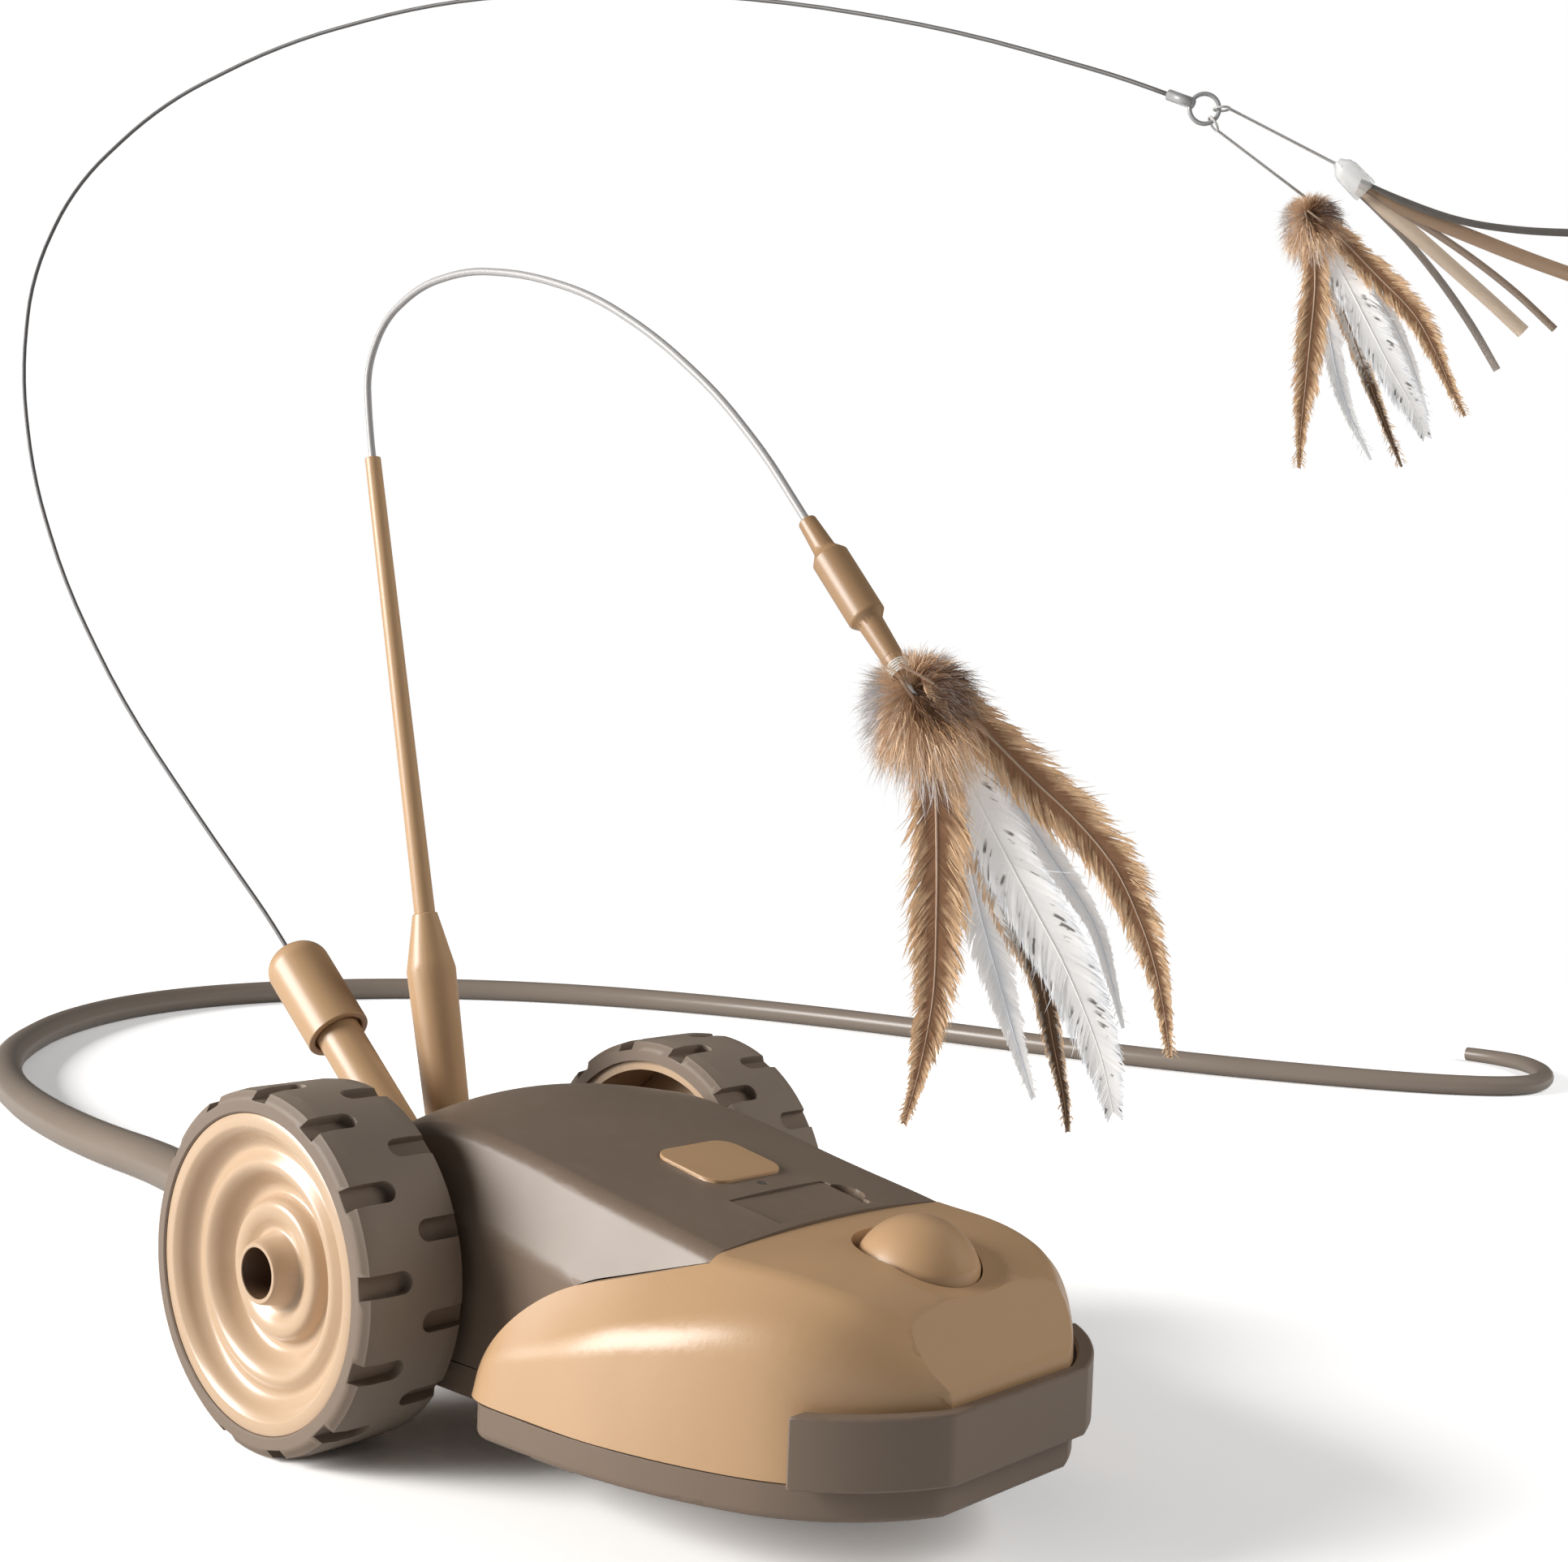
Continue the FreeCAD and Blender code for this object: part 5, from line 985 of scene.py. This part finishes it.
def down_tuft(name, root, knot, reach_at, hairs, dark, scale, seed, hair, hair_width):
    """knot is the hairs' root in the plane, and reach_at gives degrees round it and the down's reach there. The
    tone is darkest at the place dark, and scale says how fast it changes."""
    rng = np.random.default_rng(seed)
    degrees, reaches = np.array(reach_at, float).T
    weights = np.interp(np.arange(360), degrees, reaches) ** 1.3
    steps = np.cumsum(weights) / weights.sum()
    t = HAIR_POINTS[:, None]
    lines, halves, coords, tones = [], [], [], []
    for _ in range(hairs):
        angle = float(np.searchsorted(steps, rng.random())) + rng.random()
        edge = float(np.interp(angle % 360, degrees, reaches))
        turn = math.radians(angle)
        out = unit(np.array([math.cos(turn), math.sin(turn), rng.normal(0, OUT_OF_PLANE)]))
        begin = edge * 0.85 * rng.random() ** 0.8
        end = min(begin + hair * rng.uniform(0.6, 1.2), edge * rng.uniform(0.82, 1.12))
        if end - begin < hair * 0.25:
            begin = end - hair * 0.4
        droop = np.array([0.0, -1.0, 0.0]) * (0.10 + 0.16 * max(0.0, math.cos(turn)))
        lean = rng.normal(0, HAIR_LEAN, 3)
        path = np.array([*knot, 0.0]) + out * begin + (out + lean) * (end - begin) * t
        path = path + droop * (end * t) ** 2 / edge * 0.55 + droop * begin * 0.6
        path = path + rng.normal(0, HAIR_WAVE, 3) * (end - begin) * np.sin(t * math.pi)
        flat = unit(np.cross(unit(np.gradient(path, axis=0)), rng.normal(0, 1, 3)))
        lines.append(in_plane(root, path))
        halves.append((flat * (hair_width * HAIR_TAPER)[:, None]) * MM @ PLANE_AXES)
        coords.append(np.stack([HAIR_POINTS * min(1.0, end / edge), np.full(len(t), rng.random())], axis=1))
        right, up = (path[2][:2] - dark) / scale
        tones.append(min(1.0, max(0.0, tuft_tone(right, up) + rng.normal(0, 0.07))))
    piece = strips(name, lines, halves, coords, tones)
    dress(piece, "tuft")
    return piece


for name, root, body, node, knot, reach_at, hairs, dark, scale, seed, hair, hair_width in (
        ("down_tuft_b", LURE_B_ROOT, "lure_b", "fluff_b", (3.4, -5.0), REACH_B, 11000, (10.0, -6.5), 10.0, 51,
         6.0, 0.11),
        ("down_tuft_a", LURE_A_ROOT, "feather_lure", "fluff_a", (21.8, -20.2), REACH_A, 6500, (25.6, -21.4), 6.2,
         52, 3.8, 0.085)):
    tuft = down_tuft(name, root, knot, reach_at, hairs, dark, scale, seed, hair, hair_width)
    hang(tuft, body, "tuft", node)
    print(name, len(tuft.data.polygons))

# %% [markdown]
# Five ribbons come out of one clear sleeve: narrow cords of dark cloth and wider flat strips. They are cut from
# one thin cloth, so they are one sheet of five strips. Each strip follows its own line, curls a little across
# and twists slowly, and its cut end is square.

# %% Ribbons
WEAVE_GRAIN, WEAVE_SHARE, WEAVE_COLOR = (1.0, 260.0, 1.0), 0.18, (0.75, 0.66, 0.56)
WEAVE_DEPTH, CLOTH = 0.04 * MM, 0.12 * MM
RIBBON_LINES = [
    ([(32, -13.6), (41, -17.4), (52.8, -20.8), (65, -22.2), (79.5, -22.4)], 1.6, -2, 0),
    ([(32, -14), (43, -19.2), (56, -24), (68, -28.2), (79.5, -31.8)], 2.8, -1.2, 0.4),
    ([(32, -14.3), (43, -20.2), (55, -27.4), (65, -34.4), (73.6, -41.6)], 1.4, -0.3, 0.2),
    ([(32, -14.7), (42, -21.6), (52, -29.4), (60.5, -36.2), (67.6, -42.2)], 2.8, 0.6, 0.85),
    ([(32, -15.1), (41, -22.4), (49, -30.8), (56.5, -40.4), (62.8, -50)], 1.5, 1.5, 0.55),
]
RIBBON_STEPS = 40
ACROSS = (-1.0, -0.5, 0.0, 0.5, 1.0)
GATHERED, GATHER_END, CURL, TWIST = 0.45, 0.22, 0.16, 16

finishes["ribbon"], tree, shader = new_finish("ribbon_cloth")
uv, across, along = strip_map(tree)
weave = add(tree, "TexWave", wave_type="BANDS", bands_direction="Y", Scale=1.0, Distortion=1.2, Detail=2.0,
            Vector=add(tree, "Mapping", Vector=uv, Scale=WEAVE_GRAIN).outputs[0]).outputs["Fac"]
color = ramp(tree, tone_of(tree), [
    (0.0, (0.085, 0.075, 0.068)), (0.4, (0.36, 0.22, 0.125)), (0.6, (0.30, 0.28, 0.265)), (0.8, (0.74, 0.58, 0.43)),
])
bump = add(tree, "Bump", Strength=0.5, Distance=WEAVE_DEPTH, Height=weave)
feed(tree, shader, Base_Color=mixed(tree, product(tree, weave, WEAVE_SHARE), color, WEAVE_COLOR),
     Roughness=span(tree, weave, low=0.34, high=0.52), Normal=bump.outputs["Normal"], Sheen_Weight=0.2)

share = np.linspace(0, 1, RIBBON_STEPS)[:, None]
gather = GATHERED + (1 - GATHERED) * step_between(share, 0.0, GATHER_END)
grids, tones = [], []
for n, (spine, width, depth, tone_value) in enumerate(RIBBON_LINES):
    line, _ = smooth_line(in_plane(LURE_A_ROOT, [(r, u, depth) for r, u in spine]), RIBBON_STEPS)
    ahead = unit(np.gradient(line, axis=0))
    twist = np.radians(TWIST * np.sin(share * 3.0 + n * 1.7) - TWIST / 2 * n * share)
    offset = unit(np.cross(ahead, AWAY)) * np.cos(twist) + AWAY * np.sin(twist)
    hollow = np.cross(offset, ahead) * CURL
    rows = [(offset * c / 2 + hollow * c * c) * width * MM * gather for c in ACROSS]
    grids.append(line[:, None] + np.stack(rows, axis=1))
    tones.append(tone_value)
map_across, map_along = np.meshgrid((np.array(ACROSS) + 1) / 2, share.ravel())
ribbon_strips = woven("ribbon_strips", grids, np.stack([map_across, map_along], axis=-1), tones)
thick = ribbon_strips.modifiers.new("cloth", "SOLIDIFY")
thick.thickness = CLOTH
thick.offset = 0.0
apply_all(ribbon_strips)
bpy.ops.object.shade_smooth_by_angle(angle=math.radians(40))
dress(ribbon_strips, "ribbon")
hang(ribbon_strips, "ribbon_lure", "ribbon_cloth", "ribbons")
print("ribbons", len(RIBBON_LINES))

# %% [markdown]
# The thread tie is what holds the large tuft on its connector. It is a few tight turns of white thread with a
# small bow loop and two cut ends, so it is one thin curve: a helix and then the loop. Under it the quills form
# a narrow bundle, from the connector's end to the tuft.

# %% Thread tie
THREAD = 0.42
TIE_START = Vector((8.0, -83.941, 136.467)) * MM
TIE_AXIS = Vector((0.0, -0.6577, -0.7533))
TIE_FROM, TIE_RADIUS, TIE_PITCH, TIE_WOBBLE = 4.3, 2.15, 0.46, 0.12
TIE_TURNS, PER_TURN = 5, 14
LOOP = [(-0.5, -0.6), (-1.8, -0.2), (-3.4, 0.8), (-4.0, -0.6), (-2.6, -1.5), (-0.8, -1.0), (0.6, -2.2), (0.9, -4.2)]
LOOP_NEARER = 0.6
BUNDLE = [(0.2, 1.7), (2.9, 1.98), (4.5, 1.9), (6.6, 1.8), (7.4, 1.1)]

across_tie = TIE_AXIS.cross(Vector((1, 0, 0))).normalized()
tie_points = []
for i in range(TIE_TURNS * PER_TURN + 1):
    angle = 2 * math.pi * i / PER_TURN
    radius = (TIE_RADIUS + TIE_WOBBLE * math.sin(i * 1.3)) * MM
    along = (TIE_FROM + i / PER_TURN * TIE_PITCH) * MM
    tie_points.append(TIE_START + TIE_AXIS * along + Vector((1, 0, 0)) * radius * math.cos(angle)
                      + across_tie * radius * math.sin(angle))
loop_root = tie_points[-1]
for right, up in LOOP:
    tie_points.append(loop_root + PLANE_RIGHT * right * MM + Vector((0, 0, up)) * MM
                      - PLANE_AWAY * LOOP_NEARER * MM)
thread_tie = nurbs_tube("thread_tie", tie_points, THREAD / 2 * MM, 2, 4)
dress(thread_tie, "thread")
line = np.array([TIE_START + TIE_AXIS * along * MM for along, radius in BUNDLE])
quill_bundle = tapered_tube("quill_bundle", line, [radius * MM for along, radius in BUNDLE], sides=20)
dress(quill_bundle, "brown")
for piece in (quill_bundle, thread_tie):
    hang(piece, "lure_b", "tie_thread", "lure_b_tie")
print("tie points", len(tie_points))

# %% [markdown]
# The clear sleeve of the ribbon lure is a heat-shrunk tube: wide at the ribbons, drawn in on the leader. A
# circle is pulled out in steps, each of them scaled, and a solidify gives the wall.

# %% Sleeve
SLEEVE_FROM = Vector((122.247, -104.993, 239.225)) * MM
SLEEVE_TO = Vector((125.716, -108.867, 234.425)) * MM
SLEEVE_PROFILE = [(-1.4, 0.75), (-0.9, 1.0), (0.2, 1.9), (1.4, 2.2), (4.5, 2.25), (6.3, 2.3), (6.9, 2.15)]
SLEEVE_WALL = 0.25 * MM

sleeve_axis = (SLEEVE_TO - SLEEVE_FROM).normalized()
bpy.ops.object.select_all(action="DESELECT")
bpy.ops.mesh.primitive_circle_add(vertices=28, radius=SLEEVE_PROFILE[0][1] * MM, location=(0, 0, 0))
sleeve = bpy.context.object
sleeve.name = "sleeve_tube"
edit_all()
for (z0, r0), (z1, r1) in zip(SLEEVE_PROFILE, SLEEVE_PROFILE[1:]):
    bpy.ops.mesh.extrude_region_move(TRANSFORM_OT_translate={"value": (0, 0, (z1 - z0) * MM)})
    bpy.ops.transform.resize(value=(r1 / r0, r1 / r0, 1))
bpy.ops.object.mode_set(mode="OBJECT")
turn = sleeve_axis.to_track_quat("Z", "Y").to_matrix().to_4x4()
turn.translation = SLEEVE_FROM + sleeve_axis * SLEEVE_PROFILE[0][0] * MM
sleeve.data.transform(turn)
sleeve.modifiers.new("wall", "SOLIDIFY").thickness = SLEEVE_WALL
apply_all(sleeve)
bpy.ops.object.shade_smooth_by_angle(angle=math.radians(50))
dress(sleeve, "sleeve")
stand_for(sleeve, "ribbon_sleeve")
print("sleeve", len(sleeve.data.polygons))
